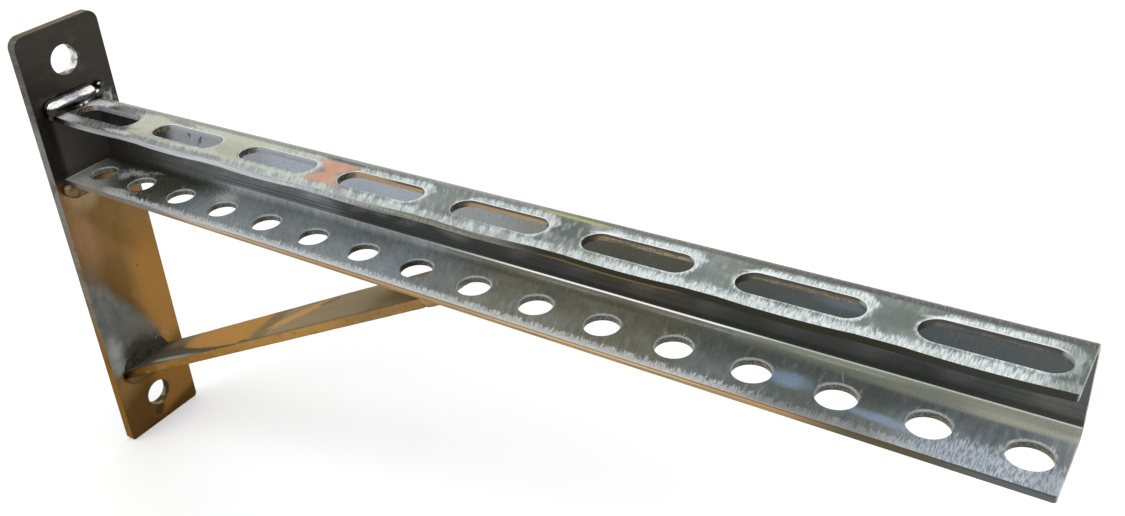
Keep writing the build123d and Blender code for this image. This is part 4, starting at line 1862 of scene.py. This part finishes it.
@dataclass
class Studio:
    """Camera, floor and light."""

    camera_place: Vector = field(default_factory=lambda: Vector((423.9658, -261.423, 247.2831)))
    turn: Vector = field(default_factory=lambda: Vector((2.0289, 0.6019, -0.4947)))
    focal_pixels: float = 1142.6072
    centre_x: float = 446.9405
    centre_y: float = 224.8025
    sensor_width: float = 36.0
    nearest: float = 0.01
    floor_level: float = -105.0
    floor_reach: float = 6.0
    floor_colour: Colour = (0.9, 0.9, 0.9)
    floor_glow: float = 0.25
    sky: float = 0.8
    lamps: Sequence[Lamp] = (
        Lamp("key", (-0.35, -0.75, 1.35), 0.7, 4.0),
        Lamp("fill", (1.1, 0.5, 1.0), 0.8, 1.5),
    )
    lamp_aim: Vector = field(default_factory=lambda: Vector((0.2, 0.0, 0.0)))

    def set_camera(self) -> None:
        """Puts the camera where the photograph was taken from."""
        camera = bpy.data.cameras.new("camera")
        camera.sensor_fit = "HORIZONTAL"
        camera.sensor_width = self.sensor_width
        camera.lens = self.focal_pixels / PHOTO_WIDTH * camera.sensor_width
        camera.shift_x = (PHOTO_WIDTH / 2 - self.centre_x) / PHOTO_WIDTH
        camera.shift_y = (self.centre_y - PHOTO_HEIGHT / 2) / PHOTO_WIDTH
        camera.clip_start = self.nearest
        made = bpy.data.objects.new("camera", camera)
        bpy.context.scene.collection.objects.link(made)
        to_view = Matrix.Rotation(self.turn.length, 3, self.turn.normalized())
        axes = to_view.transposed() @ Matrix.Diagonal((1.0, -1.0, -1.0))
        made.matrix_world = Matrix.Translation(self.camera_place * MM) @ axes.to_4x4()
        bpy.context.scene.camera = made

    @staticmethod
    def seen(bench: Bench) -> Wire:
        """Is 1 for what is seen straight, mirrored or through a clear piece, and 0 for what gives light.

        Args:
            bench: the tree that the nodes go into.

        Returns:
            The share as a wire.
        """
        path = bench.node("ShaderNodeLightPath")
        kinds = ("Is Camera Ray", "Is Glossy Ray", "Is Transmission Ray")
        camera, glossy, clear = (Wire(bench, path.outputs[kind]) for kind in kinds)
        return camera.high(glossy).high(clear)

    def lay_floor(self) -> None:
        """Lays a large pale floor under the plate's lower end."""
        work = bmesh.new()
        bmesh.ops.create_grid(work, x_segments=1, y_segments=1, size=self.floor_reach)
        mesh = bpy.data.meshes.new("floor")
        work.to_mesh(mesh)
        work.free()
        floor = mesh_object("floor", mesh)
        floor.location.z = self.floor_level * MM
        paper = bpy.data.materials.new("pale_paper")
        paper.use_nodes = True
        bench = Bench(paper.node_tree)
        diffuse = bench.node("ShaderNodeBsdfDiffuse", None, {"Color": self.floor_colour})
        glowing = {"Color": (1.0, 1.0, 1.0), "Strength": self.seen(bench) * self.floor_glow}
        glow = bench.node("ShaderNodeEmission", None, glowing)
        both = bench.node("ShaderNodeAddShader", None, {0: diffuse.outputs[0], 1: glow.outputs[0]})
        bench.node("ShaderNodeOutputMaterial", None, {"Surface": both.outputs[0]})
        mesh.materials.append(paper)

    def add_lamp(self, lamp: Lamp) -> None:
        """Adds a lamp that points at the bracket's middle.

        Args:
            lamp: what it is.
        """
        light = bpy.data.lights.new(lamp.name, "AREA")
        light.size = lamp.side
        light.energy = lamp.power
        made = bpy.data.objects.new(lamp.name, light)
        bpy.context.scene.collection.objects.link(made)
        made.location = lamp.place
        aim = self.lamp_aim - Vector(lamp.place)
        made.rotation_euler = aim.to_track_quat("-Z", "Y").to_euler()

    def light(self) -> None:
        """Lights the bracket with two soft lamps and an even, pale surrounding."""
        world = bpy.data.worlds.new("surroundings")
        world.use_nodes = True
        bpy.context.scene.world = world
        bench = Bench(world.node_tree)
        strength = self.sky + self.seen(bench) * (1.0 - self.sky)
        sky = bench.node("ShaderNodeBackground", None, {"Color": (1.0, 1.0, 1.0), "Strength": strength})
        bench.node("ShaderNodeOutputWorld", None, {"Surface": sky.outputs[0]})
        for lamp in self.lamps:
            self.add_lamp(lamp)
        bpy.context.scene.view_settings.view_transform = "Standard"


def top_drops() -> list[Drop]:
    """Lists the drops at the rear end and the toe of the arm's upper bead.

    Returns:
        The drops, with their places and radii in millimetres.
    """
    return [
        Drop(Vector(FIRST_DROP), 2.7),
        Drop(Vector((6.3, 12.6, 72.9)), 1.9),
        Drop(Vector((9.6, 1.3, 69.2)), 1.5, 0.8),
        Drop(Vector((9.4, -1.3, 69.1)), 1.2, 0.8),
        Drop(Vector((7.2, -15.2, 68.4)), 1.5, 1.0),
    ]


def weld_finishes() -> dict[str, WeldFinish]:
    """Lists the beads' finishes by their place.

    Returns:
        Each finish under the name of its place.
    """
    bright = {"smooth": 0.08, "dull": 0.24}
    calm = {"smooth": 0.2, "dull": 0.45, "gloss": 0.0}
    # The amber and golden tones of the under, plug and head beads are painted reflection of warm surroundings
    return {
        "top": TopWeldFinish("zinc_on_top_weld", **bright),
        "under": WeldFinish(
            "zinc_on_under_weld", **bright, edge_tint=(0.6, 0.5, 0.4), gloss=0.15, gleam=0.35, bare=0.35,
            crown=(0.2, 0.125, 0.06), valley=(0.095, 0.056, 0.026), under=(0.15, 0.09, 0.04),
        ),
        "foot": WeldFinish(
            "zinc_on_foot_weld", **calm, edge_tint=(0.3, 0.3, 0.25), gleam=0.0, bare=0.12,
            crown=(0.05, 0.05, 0.037), valley=(0.03, 0.03, 0.022),
        ),
        "plug": WeldFinish(
            "zinc_on_plug_weld", **calm, edge_tint=(0.4, 0.28, 0.15), gleam=0.0, bare=0.12,
            crown=(0.15, 0.085, 0.03), valley=(0.105, 0.058, 0.02), under=(0.11, 0.062, 0.022),
        ),
        "head": WeldFinish(
            "zinc_on_head_weld", **calm, edge_tint=(0.6, 0.45, 0.25), gleam=0.1, bare=0.3,
            crown=(0.42, 0.28, 0.12), valley=(0.27, 0.16, 0.06), under=(0.25, 0.15, 0.06),
        ),
    }


def weld_beads() -> list[WeldBead]:
    """Lists the bracket's five weld beads.

    Returns:
        The beads, not built yet.
    """
    up, out = Vector((0.0, 0.0, 1.0)), Vector((1.0, 0.0, 0.0))
    along_bar = Vector((math.cos(BRACE_SLOPE), 0.0, math.sin(BRACE_SLOPE)))
    bar_end = Vector((math.sin(BRACE_SLOPE), 0.0, -math.cos(BRACE_SLOPE)))
    finish = weld_finishes()
    return [
        WeldBead(
            "zinc_arm_top_weld", "arm_top_weld", Vector((PLATE_FACE, 0.0, ARM_TOP)), up, out,
            front=-16.75, back=9.0, section=RoundSection(3.3, 2.0, 3.9), finish=finish["top"],
            drops=top_drops(),
        ),
        WeldBead(
            "zinc_arm_under_weld", "arm_under_weld", Vector((PLATE_FACE, 0.0, ARM_UNDERSIDE)), -up, out,
            front=-19.05, back=7.75, section=RoundSection(2.3, 2.3, 4.4), finish=finish["under"],
            front_round=4.4, seed=2.0,
        ),
        WeldBead(
            "zinc_brace_foot_weld", "brace_foot_weld", Vector((PLATE_FACE, 0.0, BRACE_FOOT)), up, along_bar,
            front=-14.7, back=11.7, section=FlatSection(5.6, 6.2, -0.25), finish=finish["foot"],
            front_round=6.0, back_round=5.0, ripple=0.0, lump=0.25, seed=4.0,
        ),
        WeldBead(
            "zinc_brace_plug_weld", "brace_plug_weld", Vector((PLATE_FACE, 0.0, -70.5)), -up, along_bar,
            front=-16.0, back=11.7, section=FlatSection(3.2, 6.1, 3.1), finish=finish["plug"],
            seed=6.0,
        ),
        WeldBead(
            "zinc_brace_head_weld", "brace_head_weld", Vector((201.4, 0.0, ARM_UNDERSIDE)), out, bar_end,
            front=-15.5, back=12.5, section=FlatSection(11.6, 4.7, 0.5), finish=finish["head"],
            front_round=1.2, back_round=1.2, lump=0.2, seed=8.0, keep_open=[(217.0, -4.0, 6.6)],
        ),
    ]


def foot_spatter() -> Spatter:
    """Gives the fine spatter beside the brace's foot.

    Returns:
        The spatter, not built yet.
    """
    above, beside = (4.0, 13.0, -60.4, -56.5), (12.8, 14.2, -67.0, -60.4)
    patches = []
    for low_y, high_y, low_z, high_z in (above, beside):
        corners = ((low_y, high_z), (high_y, high_z), (high_y, low_z), (low_y, low_z))
        patches.append([Vector((PLATE_FACE, y, z)) for y, z in corners])
    return Spatter("zinc_spatter_at_foot", patches, per_square_mm=0.35, smallest=0.1, largest=0.28)


def main() -> None:
    """Builds the studio and the bracket."""
    logging.basicConfig(level=logging.INFO, format="%(message)s")
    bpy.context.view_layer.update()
    studio = Studio()
    studio.set_camera()
    studio.lay_floor()
    studio.light()
    for piece in (BackPlate(), Arm(), Brace(), *weld_beads()):
        piece.install()
    foot_spatter().build()


if __name__ == "__main__":
    main()
